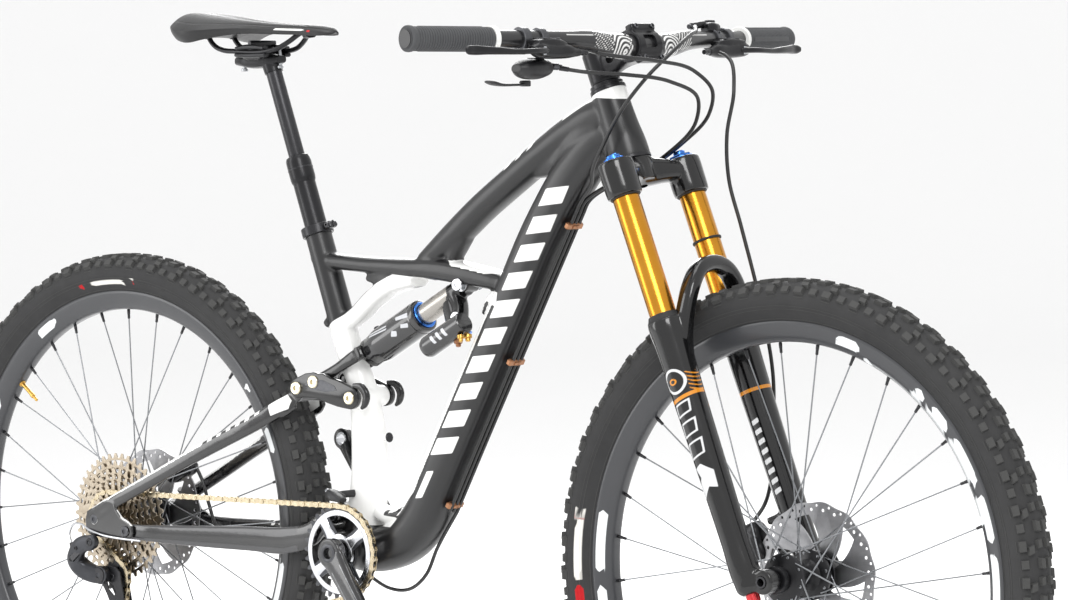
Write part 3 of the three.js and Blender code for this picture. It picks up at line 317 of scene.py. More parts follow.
def mesh_of(name, ch):
    v, f = ch; me = bpy.data.meshes.new(name); w = np.array(v, float); w[:, 0] -= OX; w /= 1000
    me.from_pydata(w.tolist(), [], f); me.validate(); me.update()
    bm = bmesh.new(); bm.from_mesh(me); bmesh.ops.recalc_face_normals(bm, faces=bm.faces); bm.to_mesh(me); bm.free()
    return me
def add(name, ch, mats, body, reps=(), slot=None, angle=35, pick=None, attrs=None, subsurf=0, bend=None):
    """an object from a chunk; pick(centroids mm, normals) gives a material index per face; attrs {name: fn(points mm, normals)}."""
    if isinstance(ch, bpy.types.Mesh): me = ch
    else: me = mesh_of(name, merge(*ch) if isinstance(ch, list) else ch)
    ob = bpy.data.objects.new(name, me); scene.collection.objects.link(ob)
    mats = mats if isinstance(mats, (list, tuple)) else [mats]
    for mt in mats: me.materials.append(mt)
    if subsurf: 
        md = ob.modifiers.new("s", "SUBSURF"); md.levels = md.render_levels = subsurf
        me = bake(ob)
    me.polygons.foreach_set("use_smooth", [True] * len(me.polygons)); me.set_sharp_from_angle(angle=math.radians(angle))
    if pick is not None:
        n = len(me.polygons); c = np.zeros(n * 3); me.polygons.foreach_get("center", c); c = c.reshape(-1, 3) * 1000; c[:, 0] += OX
        nn = np.zeros(n * 3); me.polygons.foreach_get("normal", nn)
        me.polygons.foreach_set("material_index", np.asarray(pick(c, nn.reshape(-1, 3)), int))
    for an, fn in (attrs or {}).items():
        n = len(me.vertices); c = np.zeros(n * 3); me.vertices.foreach_get("co", c); c = c.reshape(-1, 3) * 1000; c[:, 0] += OX
        nn = np.zeros(n * 3); me.vertices.foreach_get("normal", nn)
        at = me.attributes.new(an, "FLOAT", "POINT"); at.data.foreach_set("value", np.asarray(fn(c, nn.reshape(-1, 3)), np.float32))
    if reps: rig.replaces(ob, *([reps] if isinstance(reps, str) else reps))
    if slot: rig.slot(ob, slot)
    if bend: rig.blend(ob, bend[0], bend[1], bend[2], bend[3])
    else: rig.ride(ob, body)
    return ob
def bake(ob):
    """applies the object's modifiers."""
    dg = bpy.context.evaluated_depsgraph_get(); dg.update(); me = bpy.data.meshes.new_from_object(ob.evaluated_get(dg), depsgraph=dg)
    ob.modifiers.clear(); ob.data = me; return me
def fuse(chunks, voxel=2.0, smooth=6, factor=0.5, cuts=(), dec=0.0):
    """fuses overlapping closed chunks into one skin with soft fillets, then cuts; returns a mesh."""
    vs = [c for c in chunks]; me = mesh_of("fuse", merge(*vs)); ob = bpy.data.objects.new("fuse", me); scene.collection.objects.link(ob)
    if cuts and not NOFUSE:
        tools = []
        for c in cuts:
            t = bpy.data.objects.new("cut", mesh_of("cut", c)); scene.collection.objects.link(t); tools.append(t)
    r = ob.modifiers.new("r", "REMESH"); r.mode = "VOXEL"; r.voxel_size = voxel / 1000; r.adaptivity = 0
    s = ob.modifiers.new("s", "SMOOTH"); s.factor = factor; s.iterations = smooth
    if cuts:
        for t in tools:
            b = ob.modifiers.new("b", "BOOLEAN"); b.operation = "DIFFERENCE"; b.object = t; b.solver = "EXACT"
    me = bake(ob); bpy.data.objects.remove(ob)
    if cuts:
        for t in tools: bpy.data.objects.remove(t)
    return me

# ------------------------------------------------------------------ signed distances for painted areas (mm, negative inside)
def sd_poly(p, poly):
    """p (n,2), poly list of points -> signed distance."""
    P = np.asarray(poly, float); Q = np.roll(P, -1, 0); d = np.full(len(p), 1e9); inside = np.zeros(len(p), bool)
    for a, b in zip(P, Q):
        e = b - a; w = p - a; t = np.clip((w @ e) / max(e @ e, 1e-9), 0, 1); d = np.minimum(d, np.linalg.norm(w - t[:, None] * e, axis=1))
        c = ((a[1] > p[:, 1]) != (b[1] > p[:, 1])); s = np.where(c, (b[0] - a[0]) * (p[:, 1] - a[1]) / ((b[1] - a[1]) if abs(b[1] - a[1]) > 1e-9 else 1e-9) + a[0], -1e9)
        inside ^= c & (p[:, 0] < s)
    return np.where(inside, -d, d)
def union(*ds): 
    o = ds[0]
    for d in ds[1:]: o = np.minimum(o, d)
    return o
def inter(*ds):
    o = ds[0]
    for d in ds[1:]: o = np.maximum(o, d)
    return o
xz = lambda p: p[:, [0, 2]]
# ------------------------------------------------------------------ materials
def lin(c): return tuple(((x / 12.92) if x <= 0.04045 else ((x + 0.055) / 1.055) ** 2.4) for x in c) + (1,)
def srgb(h): return lin(tuple(int(h[i:i + 2], 16) / 255 for i in (0, 2, 4)))
class G:
    """a small node-graph writer."""
    def __init__(s, name):
        s.m = bpy.data.materials.new(name); s.m.use_nodes = True; s.t = s.m.node_tree; s.n = s.t.nodes; s.l = s.t.links
        s.b = s.n["Principled BSDF"]; s.tc = s.n.new("ShaderNodeTexCoord")
    def link(s, a, b): s.l.new(a, b)
    def math(s, op, a, b=None, c=None):
        n = s.n.new("ShaderNodeMath"); n.operation = op
        for i, x in enumerate((a, b, c)):
            if x is None: continue
            if isinstance(x, (int, float)): n.inputs[i].default_value = x
            else: s.link(x, n.inputs[i])
        return n.outputs[0]
    def noise(s, scale, detail=4, rough=.6, vec=None, stretch=None):
        n = s.n.new("ShaderNodeTexNoise"); n.inputs["Scale"].default_value = scale; n.inputs["Detail"].default_value = detail; n.inputs["Roughness"].default_value = rough
        v = vec or s.tc.outputs["Object"]
        if stretch:
            mp = s.n.new("ShaderNodeMapping"); mp.inputs["Scale"].default_value = stretch; s.link(v, mp.inputs["Vector"]); v = mp.outputs[0]
        s.link(v, n.inputs["Vector"]); return n.outputs["Fac"]
    def ramp(s, fac, stops):
        n = s.n.new("ShaderNodeValToRGB"); s.link(fac, n.inputs[0]); e = n.color_ramp.elements
        while len(e) < len(stops): e.new(0.5)
        for i, (p, c) in enumerate(stops): e[i].position = p; e[i].color = c if len(c) == 4 else (*c, 1)
        return n.outputs[0]
    def mix(s, fac, a, b):
        n = s.n.new("ShaderNodeMix"); n.data_type = "RGBA"
        for k, x in ((0, fac), (6, a), (7, b)):
            if isinstance(x, (int, float)): n.inputs[k].default_value = x
            elif isinstance(x, tuple): n.inputs[k].default_value = x
            else: s.link(x, n.inputs[k])
        return n.outputs[2]
    def mixf(s, fac, a, b): return s.math("ADD", s.math("MULTIPLY", s.math("SUBTRACT", b, a) if not (isinstance(a, (int, float)) and isinstance(b, (int, float))) else float(b - a), fac), a)
    def attr(s, name):
        n = s.n.new("ShaderNodeAttribute"); n.attribute_name = name; return n.outputs["Fac"]
    def inside(s, name, w=0.35):
        """1 where the painted-area attribute is negative, with an edge w mm wide."""
        mr = s.n.new("ShaderNodeMapRange"); mr.inputs[1].default_value = w; mr.inputs[2].default_value = -w; s.link(s.attr(name), mr.inputs[0]); return mr.outputs[0]
    def bump(s, h, strength, dist=0.001, prev=None):
        n = s.n.new("ShaderNodeBump"); n.inputs["Strength"].default_value = strength; n.inputs["Distance"].default_value = dist; s.link(h, n.inputs["Height"])
        if prev is not None: s.link(prev, n.inputs["Normal"])
        s.link(n.outputs[0], s.b.inputs["Normal"]); return n.outputs[0]
    def wear(s): 
        g = s.n.new("ShaderNodeNewGeometry"); mr = s.n.new("ShaderNodeMapRange"); mr.inputs[1].default_value = .52; mr.inputs[2].default_value = .62; s.link(g.outputs["Pointiness"], mr.inputs[0]); return mr.outputs[0]
def base(g, col, rough, metal, coat=0.0, coat_r=0.03, spec=0.5):
    b = g.b.inputs
    if isinstance(col, tuple): b["Base Color"].default_value = col
    else: g.link(col, b["Base Color"])
    if isinstance(rough, (int, float)): b["Roughness"].default_value = rough
    else: g.link(rough, b["Roughness"])
    if isinstance(metal, (int, float)): b["Metallic"].default_value = metal
    else: g.link(metal, b["Metallic"])
    b["Coat Weight"].default_value = coat; b["Coat Roughness"].default_value = coat_r; b["Specular IOR Level"].default_value = spec
    return g.m
def simple(name, c1, c2, rough, metal, nscale=60, bstr=.08, bscale=900, coat=0.0, coat_r=.04, stretch=None, wearc=None, wearf=.5, rvar=.12, spec=.5):
    """two-tone surface with varied roughness, fine bump and lighter worn edges."""
    g = G(name); n1 = g.noise(nscale, 5); col = g.mix(n1, c1, c2)
    if wearc is not None: col = g.mix(g.math("MULTIPLY", g.math("MULTIPLY", g.wear(), g.noise(nscale * 5, 3)), wearf), col, wearc)
    n2 = g.noise(bscale, 3, .6, stretch=stretch); r = g.math("ADD", g.math("MULTIPLY", g.math("SUBTRACT", n2, .5), rvar), rough)
    g.bump(n2, bstr, .0004); return base(g, col, r, metal, coat, coat_r, spec)
def weave(g, scale=450):
    """fine cross weave under the lacquer."""
    w1 = g.n.new("ShaderNodeTexWave"); w1.inputs["Scale"].default_value = scale; w1.bands_direction = "DIAGONAL"; w1.inputs["Distortion"].default_value = .6; g.link(g.tc.outputs["Object"], w1.inputs["Vector"])
    mp = g.n.new("ShaderNodeMapping"); mp.inputs["Rotation"].default_value = (0, math.pi / 2, 0); g.link(g.tc.outputs["Object"], mp.inputs["Vector"])
    w2 = g.n.new("ShaderNodeTexWave"); w2.inputs["Scale"].default_value = scale; w2.bands_direction = "DIAGONAL"; w2.inputs["Distortion"].default_value = .6; g.link(mp.outputs[0], w2.inputs["Vector"])
    return g.math("MULTIPLY", w1.outputs["Fac"], w2.outputs["Fac"])
def painted(name, b1, b2, rough, coat, layers, weave_amt=.5, coat_r=.06, rough_paint=.22):
    """lacquered carbon or paint, with painted areas: layers [(attribute, colour)]."""
    g = G(name); wv = weave(g); n1 = g.noise(14, 4)
    dark = g.mix(g.math("MULTIPLY", wv, weave_amt), g.mix(n1, b1, b2), tuple(min(1, x * 1.9 + .006) for x in b1[:3]) + (1,))
    col, msk = dark, None
    for an, c in layers:
        k = g.inside(an); col = g.mix(k, col, g.mix(g.noise(30, 3), c, tuple(x * .93 for x in c[:3]) + (1,))); msk = k if msk is None else g.math("MAXIMUM", msk, k)
    fine = g.noise(700, 3); r = g.math("ADD", g.math("MULTIPLY", g.math("SUBTRACT", g.noise(40, 4), .5), .10), rough)
    if msk is not None: r = g.mixf(msk, r, rough_paint)
    g.bump(fine, .03, .0003); return base(g, col, r, 0.0, coat, coat_r)
WHITE = srgb("f2f2f0"); CREAM = srgb("e9e3d2")
M_TYRE = None
def tyre_mat():
    g = G("m_tyre"); n1 = g.noise(55, 6); n2 = g.noise(9, 3)
    col = g.mix(n1, srgb("252526"), srgb("363637")); col = g.mix(g.math("MULTIPLY", n2, .35), col, srgb("434342"))
    col = g.mix(g.math("MULTIPLY", g.wear(), .35), col, srgb("565654"))
    for an, c in (("w", srgb("e4e2dc")), ("r", srgb("b8141b"))): col = g.mix(g.inside(an, .5), col, c)
    fine = g.noise(1500, 3); g.bump(g.math("ADD", fine, g.math("MULTIPLY", g.noise(220, 4), .8)), .25, .0006)
    return base(g, col, g.math("ADD", g.math("MULTIPLY", fine, .15), .70), 0.0, spec=.35)
M_TYRE = tyre_mat()
M_RIM = painted("m_rim", srgb("37383b"), srgb("2d2e31"), .34, .25, [("w", srgb("eceff0"))], .35, .15)
M_STEEL = simple("m_steel", srgb("9b9da0"), srgb("c3c5c8"), .30, 1.0, 30, .10, 1400, rvar=.2)
M_SPOKE = simple("m_spoke", srgb("77797c"), srgb("97999c"), .28, 1.0, 40, .05, 1500)
M_ROTOR = simple("m_rotor", srgb("77777a"), srgb("a6a6a8"), .32, 1.0, 50, .22, 1100, stretch=(1, 1, 5), wearc=srgb("c8c8c8"))
M_BLACK = simple("m_black_anod", srgb("141416"), srgb("1f1f22"), .33, .55, 70, .10, 1300, wearc=srgb("6c6c70"), wearf=.35, coat=.15, coat_r=.2)
M_GREYAL = simple("m_grey_anod", srgb("3a3b3e"), srgb("4c4d51"), .34, .8, 70, .10, 1300, wearc=srgb("a0a0a2"), wearf=.4)
M_SILVER = simple("m_silver", srgb("b4b6ba"), srgb("d9dadd"), .22, 1.0, 45, .08, 1200, wearc=srgb("f4f4f4"), wearf=.3)
M_SHAFT = simple("m_shaft", srgb("8f8b86"), srgb("b6b2ac"), .26, .9, 20, .05, 1400, stretch=(1, 1, 6))
M_GLOSS = painted("m_gloss_black", srgb("080809"), srgb("0d0d0e"), .16, .25, [], .05, .02)
M_GOLD = simple("m_gold", srgb("b87a22"), srgb("d79a3a"), .21, 1.0, 18, .05, 1500, stretch=(1, 1, 7), rvar=.14)
M_GOLDBOLT = simple("m_champagne", srgb("cfc3a0"), srgb("e8dfc6"), .28, .85, 40, .06, 1000, wearc=srgb("fffdf2"))
M_BLUE = simple("m_blue_anod", srgb("0d4fb4"), srgb("2f86e6"), .22, 1.0, 60, .06, 1000, wearc=srgb("9cc6ff"))
M_RED = simple("m_red_anod", srgb("b50d18"), srgb("e02a34"), .25, .8, 60, .06, 1000, wearc=srgb("ff9a9a"))
M_CHAIN = simple("m_chain", srgb("8d7d62"), srgb("c3b598"), .27, 1.0, 160, .12, 1200, wearc=srgb("efe6cf"), wearf=.6)
M_CASS = simple("m_cassette", srgb("857a6b"), srgb("b7ab99"), .30, 1.0, 120, .12, 1000, wearc=srgb("ddd4c4"), wearf=.6)
M_HOSE = simple("m_hose", srgb("101011"), srgb("1b1b1c"), .36, 0.0, 200, .10, 2500, spec=.6)
M_RUBBER = simple("m_rubber", srgb("161617"), srgb("232324"), .62, 0.0, 90, .22, 1600)
M_GRIP = simple("m_grip", srgb("3a3b3d"), srgb("4b4c4e"), .74, 0.0, 70, .30, 1700, wearc=srgb("6c6c6c"), wearf=.3)
M_PLASTIC = simple("m_plastic", srgb("18181a"), srgb("242426"), .42, 0.0, 80, .22, 1900, wearc=srgb("4c4c4e"), wearf=.3)
M_WHITE = simple("m_white_plastic", srgb("f0f0ee"), srgb("dcdcd9"), .30, 0.0, 60, .05, 900, coat=.3)
M_COPPER = simple("m_copper_clip", srgb("6a4630"), srgb("9a6a48"), .34, .7, 120, .10, 1200, wearc=srgb("d8a27c"))
M_BRASS = simple("m_brass", srgb("b98b3c"), srgb("d9b064"), .28, 1.0, 80, .06, 1200)
WORLD = 1.0
# ------------------------------------------------------------------ wheels
RA = 367.0
def on_wheel(x0, r, ang, y): return np.array([x0 + r * math.cos(ang), y, RA + r * math.sin(ang)])
def pol(p, x0): d = p[:, [0, 2]] - np.array([x0, RA]); return np.hypot(d[:, 0], d[:, 1]), np.degrees(np.arctan2(d[:, 1], d[:, 0])) % 360
def patch(p, x0, r0, r1, a0, a1, cut=0.0, side=-1):
    """a painted patch on a wheel: radii r0..r1, angles a0..a1 (degrees), slanted ends."""
    r, a = pol(p, x0); mid = (a0 + a1) / 2; da = (a - mid + 180) % 360 - 180; half = (a1 - a0) / 2; k = np.radians(1) * r
    slant = cut * (r - (r0 + r1) / 2)
    return inter(np.abs(r - (r0 + r1) / 2) - (r1 - r0) / 2, np.abs(da * k + slant) - half * k, np.where(p[:, 1] * side > 0, -9.0, 9.0))
CASING = [(306.8, 12.9), (309.5, 14.2), (313.5, 15.2), (319, 19.2), (326, 24.0), (332, 26.9), (338, 28.3), (344, 28.2), (350, 26.3), (355, 22.6), (359, 17.2), (361.4, 10.5), (362.3, 3.5)]
def knob(x0, r, y, nr, ny, ang, la, wd, h, skew=0.0):
    """one tread block: la along the tread, wd across, h high, standing along (nr, ny)."""
    c = np.array([x0, 0, RA]); er = np.array([math.cos(ang), 0, math.sin(ang)]); et = np.array([-math.sin(ang), 0, math.cos(ang)])
    n = unit(er * nr + Y * ny); ax = unit(np.cross(et, n)); o = c + er * r + Y * y - n * 1.2
    lo, hi = [], []
    for sx, sy in ((-1, -1), (1, -1), (1, 1), (-1, 1)):
        lo.append(o + et * (sx * la / 2 + sy * skew) + ax * sy * wd / 2)
        hi.append(o + et * (sx * (la / 2 - .9) + sy * skew) + ax * sy * (wd / 2 - .8) + n * (h + 1.2))
    v, f = skin([np.array(lo), np.array(hi)]); return v, f
def tyre(name, x0, body, node, painted_attrs):
    prof = CASING + [(r, -y) for r, y in reversed(CASING)]
    inner = [(308.2, -12.0), (330, -23), (345, -24), (356, -14), (358, 0), (356, 14), (345, 24), (330, 23), (308.2, 12.0)]
    ch = [lathe(prof + inner + [prof[0]], (x0, 0, RA), Y, 160)]
    N = 104
    for i in range(N):
        a = 2 * math.pi * i / N; st = 2 * math.pi / N
        if i % 2 == 0:
            for s in (-1, 1): ch.append(knob(x0, 362.0, s * 6.1, 1, s * .05, a, 13.5, 9.2, 4.2, .8 * s))
            for s in (-1, 1): ch.append(knob(x0, 357.8, s * 18.6, .88, s * .47, a + st * .75, 11, 8.4, 4.9, -1.2 * s))
        else:
            for s in (-1, 1): ch.append(knob(x0, 362.0, s * 7.6, 1, s * .08, a + st * .05, 11, 8.0, 4.0, -.6 * s))
        for s in (-1, 1): ch.append(knob(x0, 352.2, s * (24.8 if i % 2 else 23.8), .62, s * .78, a + (st * .35 if s > 0 else 0), 13.5 if i % 2 else 11.5, 9.6, 4.6 if i % 2 else 3.9, 0))
        if i % 2:  # small ribs on the shoulder
            for s in (-1, 1): ch.append(knob(x0, 345.2, s * 27.6, .1, s * .99, a, 15.0, 2.4, .7))
    for rr, yy in ((333.5, 27.2), (329.5, 25.6), (317.2, 17.9)):  # moulded lines on the sidewall
        for s in (-1, 1): ch.append(lathe([(rr - .55, s * (yy - .5)), (rr + .3, s * (yy - .2)), (rr + .15, s * (yy + .5)), (rr - .6, s * (yy + .2)), (rr - .55, s * (yy - .5))], (x0, 0, RA), Y, 160))
    return add(name, ch, M_TYRE, body, node, "tyre", 40, attrs=painted_attrs)
def rim(name, x0, body, node, wfun, hole0):
    P = [(287.9, 3.6), (288.4, 7.2), (291, 10.6), (297, 13.4), (304, 15.6), (310, 16.9), (313.4, 17.3), (314.5, 16.6), (314.4, 14.4), (311, 13.7), (306.6, 13.2), (305.4, 9), (304.2, 4)]
    prof = P + [(r, -y) for r, y in reversed(P)]
    ch = [lathe(prof + [prof[0]], (x0, 0, RA), Y, 192)]
    return add(name, ch, M_RIM, body, node, "carbon_rim", 50, attrs={"w": wfun})
def spoke_set(name, x0, body, node, nip0, ry, ly, flange=27.6):
    sp, nips = [], []
    for k in range(32):
        side = 1 if k % 2 else -1; lead = 1 if (k // 2) % 2 else -1
        a1 = math.radians(nip0 + 11.25 * k); a0 = a1 + lead * math.radians(66); fy = ry if side < 0 else ly
        out = 2.6 if lead > 0 else -2.6
        H = on_wheel(x0, flange, a0, fy + side * out); N = on_wheel(x0, 285.8, a1, side * .6)
        d = unit(N - H); Hs = H + d * 1.2
        # head, elbow through the flange, butted shank, nipple
        sp.append(tube([on_wheel(x0, flange, a0, fy - side * (3.2 if lead > 0 else -3.2)), on_wheel(x0, flange, a0, fy), on_wheel(x0, flange, a0, fy + side * out * .7), Hs + d * 2, Hs + d * 10, H + d * 60, H + d * 180, N - d * 11], [1.15] * 3 * 3 + [1.1] * 2 * 3 + [.95] * 2 * 3 + [1.0], 8, 3))
        sp.append(rod(on_wheel(x0, flange, a0, fy - side * (2.6 if lead > 0 else -2.6)), on_wheel(x0, flange, a0, fy - side * (3.7 if lead > 0 else -3.7)), 2.1, 10, bev=.4))
        nips.append(lathe([(1.1, 0), (1.9, .6), (1.95, 6.5), (2.2, 7), (2.3, 12.5), (1.6, 13.6)], N - d * 11.5, d, 10))
    o = add(name, sp, M_SPOKE, body, node, "steel", 50)
    add(name + "_nipples", nips, M_BLACK, body, None, "black_alu", 40); return o
def rotor(name, x0, y, body, node):
    ro = [(80.5 + 8.2) + (1.0 if False else 1.1 * math.sin(math.radians(a) * 14)) for a in range(0, 360, 2)]
    outer = [(x0 + r * math.cos(math.radians(2 * i)), RA + r * math.sin(math.radians(2 * i))) for i, r in enumerate(ro)]
    holes = []
    for i in range(28):
        a = 2 * math.pi * i / 28
        for rr, da, hr in ((84.6, 0.0, 1.9), (79.6, .10, 2.3)): holes.append(circ(x0 + rr * math.cos(a + da), RA + rr * math.sin(a + da), hr, 8))
    win = []
    for i in range(6):  # swept arms between the windows
        a0 = 60 * i + 8; pts = []
        for t in np.linspace(0, 1, 7): rr = 27 + 46.5 * t; pts.append((rr, a0 + 9 + 22 * t))
        for t in np.linspace(0, 1, 6)[1:]: pts.append((73.5, a0 + 31 + 17 * t if False else a0 + 31 + 18 * t))
        for t in np.linspace(1, 0, 7)[1:]: rr = 27 + 46.5 * t; pts.append((rr, a0 + 25 + 24 * t))
        holes.append([(x0 + r * math.cos(math.radians(b)), RA + r * math.sin(math.radians(b))) for r, b in pts])
    holes.append(circ(x0, RA, 16, 32))
    return add(name, [plate(outer, y - .9, y + .9, holes, .25)], M_ROTOR, body, node, "steel", 30)
def rotor_carrier(name, x0, y, body):
    holes = [circ(x0, RA, 13.2, 32)] + [circ(x0 + 21.5 * math.cos(a), RA + 21.5 * math.sin(a), 2.4, 10) for a in np.arange(6) * math.pi / 3 + .5]
    ch = [plate(circ(x0, RA, 29, 48), y - 2.2, y + 1.4, holes, .5)]
    ch.append(ringc((x0, y + .9, RA), (x0, y + 3.6, RA), 13.4, 20.5, 32))
    for a in np.arange(6) * math.pi / 3 + .2: ch.append(bolt((x0 + 25.5 * math.cos(a), y + .8, RA + 25.5 * math.sin(a)), (0, 1, 0), 2.6, 1.5, seg=14))
    return add(name, ch, M_BLACK, body, None, "black_alu", 35)

def front_rim_white(p, n=None):
    d = [patch(p, 1162, 296.5, 309, a, b, .55, -1) for a, b in ((70, 77), (49, 52.5), (40, 46.5), (26, 37.5), (12, 23), (-3, 9.5), (-14, -5), (-40, -18), (226, 232), (204, 222), (186, 201), (168, 183))]
    d += [patch(p, 1162, 296.5, 309, a, b, -.55, 1) for a, b in ((100, 118), (121, 126), (130, 150), (300, 330))]
    d.append(inter(patch(p, 1162, 289, 296.2, 16, 69, 0, -1), -(patch(p, 1162, 291, 294.5, 18, 66, 0, -1))))
    return union(*d)
def rear_rim_white(p, n=None):
    d = [patch(p, 0, 296.5, 308, a, b, .55, -1) for a, b in ((20, 27), (37.5, 40), (330, 352), (286, 318), (150, 168), (172, 178), (210, 236), (118, 126))]
    d += [patch(p, 0, 296.5, 308, a, b, -.55, 1) for a, b in ((20, 50), (200, 230))]
    return union(*d)
def tyre_white_f(p, n=None):
    return union(patch(p, 1162, 326, 336, 171.8, 184.6, 0, -1), inter(patch(p, 1162, 323.5, 338.5, 167.6, 171.0, 0, -1), -patch(p, 1162, 326.5, 335.5, 168.3, 170.3, 0, -1)), patch(p, 1162, 329, 333, 168.9, 169.7, 0, -1), patch(p, 1162, 322, 330, 10, 24, 0, 1), patch(p, 1162, 322, 330, 190, 204, 0, 1))
def tyre_red_f(p, n=None):
    return union(inter(patch(p, 1162, 325.5, 336.5, 185.4, 190.6, 0, -1)), inter(patch(p, 1162, 322.4, 339.6, 167.2, 171.4, 0, -1), -patch(p, 1162, 323.6, 338.4, 167.6, 171.0, 0, -1)), patch(p, 1162, 322, 330, 26, 31, 0, 1))
def tyre_white_r(p, n=None):
    return union(patch(p, 0, 324, 331, 89, 101, 0, -1), inter(patch(p, 0, 320.5, 334.5, 84.0, 87.4, 0, -1), -patch(p, 0, 323.5, 331.5, 84.7, 86.7, 0, -1)), patch(p, 0, 322, 330, 262, 276, 0, -1), patch(p, 0, 322, 330, 80, 94, 0, 1))
def tyre_red_r(p, n=None): return union(patch(p, 0, 321, 331, 103.2, 105.4, 0, -1), patch(p, 0, 325, 330, 85.2, 86.2, 0, -1), patch(p, 0, 321, 331, 277.5, 281, 0, -1))

tyre("tyre_front", 1162, "front_wheel", "front_tyre", {"w": tyre_white_f, "r": tyre_red_f})
tyre("tyre_rear", 0, "rear_wheel", "rear_tyre", {"w": tyre_white_r, "r": tyre_red_r})
rim("rim_front", 1162, "front_wheel", "front_rim", front_rim_white, 5.3)
rim("rim_rear", 0, "rear_wheel", "rear_rim", rear_rim_white, 46.8)
spoke_set("spokes_front", 1162, "front_wheel", "front_spokes", 5.3, -28, 24)
spoke_set("spokes_rear", 0, "rear_wheel", "rear_spokes", 46.8, -22, 28)
for x0, body, a in ((1162, "front_wheel", math.radians(5.3 + 5.6 + 11.25 * 23)), (0, "rear_wheel", math.atan2(540.9 - 367, -230.7))):
    e = on_wheel(x0, 1, a, 0) - np.array([x0, 0, RA]); o = on_wheel(x0, 288.5, a, 0)
    add("valve_" + body, [lathe([(3.6, 0), (3.6, -2.4), (2.9, -3), (2.9, -24), (3.4, -24.5), (3.4, -30), (2.2, -31), (2.2, -38), (1.4, -39)], o, e, 16), bolt(o, -e, 5.2, 2.2, 3, 18)], M_BRASS, body, None, None, 30)
hub_f = [(8, -54.7), (11.2, -54.7), (11.5, -54), (11.5, -50), (17, -49), (17, -41), (15, -38), (15, -34), (20, -32), (30, -30.6), (31.5, -29.6), (31.5, -26.5), (30, -25.5), (20, -22.5), (14.5, -17), (13.2, -9), (13, 6), (15, 13), (20, 18.5), (30, 21.6), (31.5, 22.6), (31.5, 25.5), (30, 26.6), (20, 30), (20, 35.2), (13.4, 36.2), (11.5, 40), (11.5, 54), (11.2, 54.7), (8, 54.7), (8, -54.7)]
add("hub_front", [lathe(hub_f, (1162, 0, RA), Y, 56)], M_BLACK, "front_wheel", "front_hub", "black_alu", 30)
hub_r = [(6.8, -70.7), (11, -70.7), (11, -66.6), (15.8, -66.4), (16, -28.4), (20, -27), (30, -24.6), (31.5, -23.6), (31.5, -20.5), (30, -19.6), (20, -17), (15, -12), (13.2, -4), (13, 8), (15, 16), (20, 22), (30, 25.6), (31.5, 26.6), (31.5, 29.5), (30, 30.6), (20, 33), (20, 37.2), (13.4, 38.2), (11.5, 42), (11.5, 70.7), (6.8, 70.7), (6.8, -70.7)]
add("hub_rear", [lathe(hub_r, (0, 0, RA), Y, 56)], M_BLACK, "rear_wheel", "rear_hub", "black_alu", 30)
rotor("rotor_front", 1162, 37.4, "front_wheel", "front_rotor"); rotor_carrier("rotor_carrier_front", 1162, 37.4, "front_wheel")
rotor("rotor_rear", 0, 39.4, "rear_wheel", "rear_rotor"); rotor_carrier("rotor_carrier_rear", 0, 39.4, "rear_wheel")

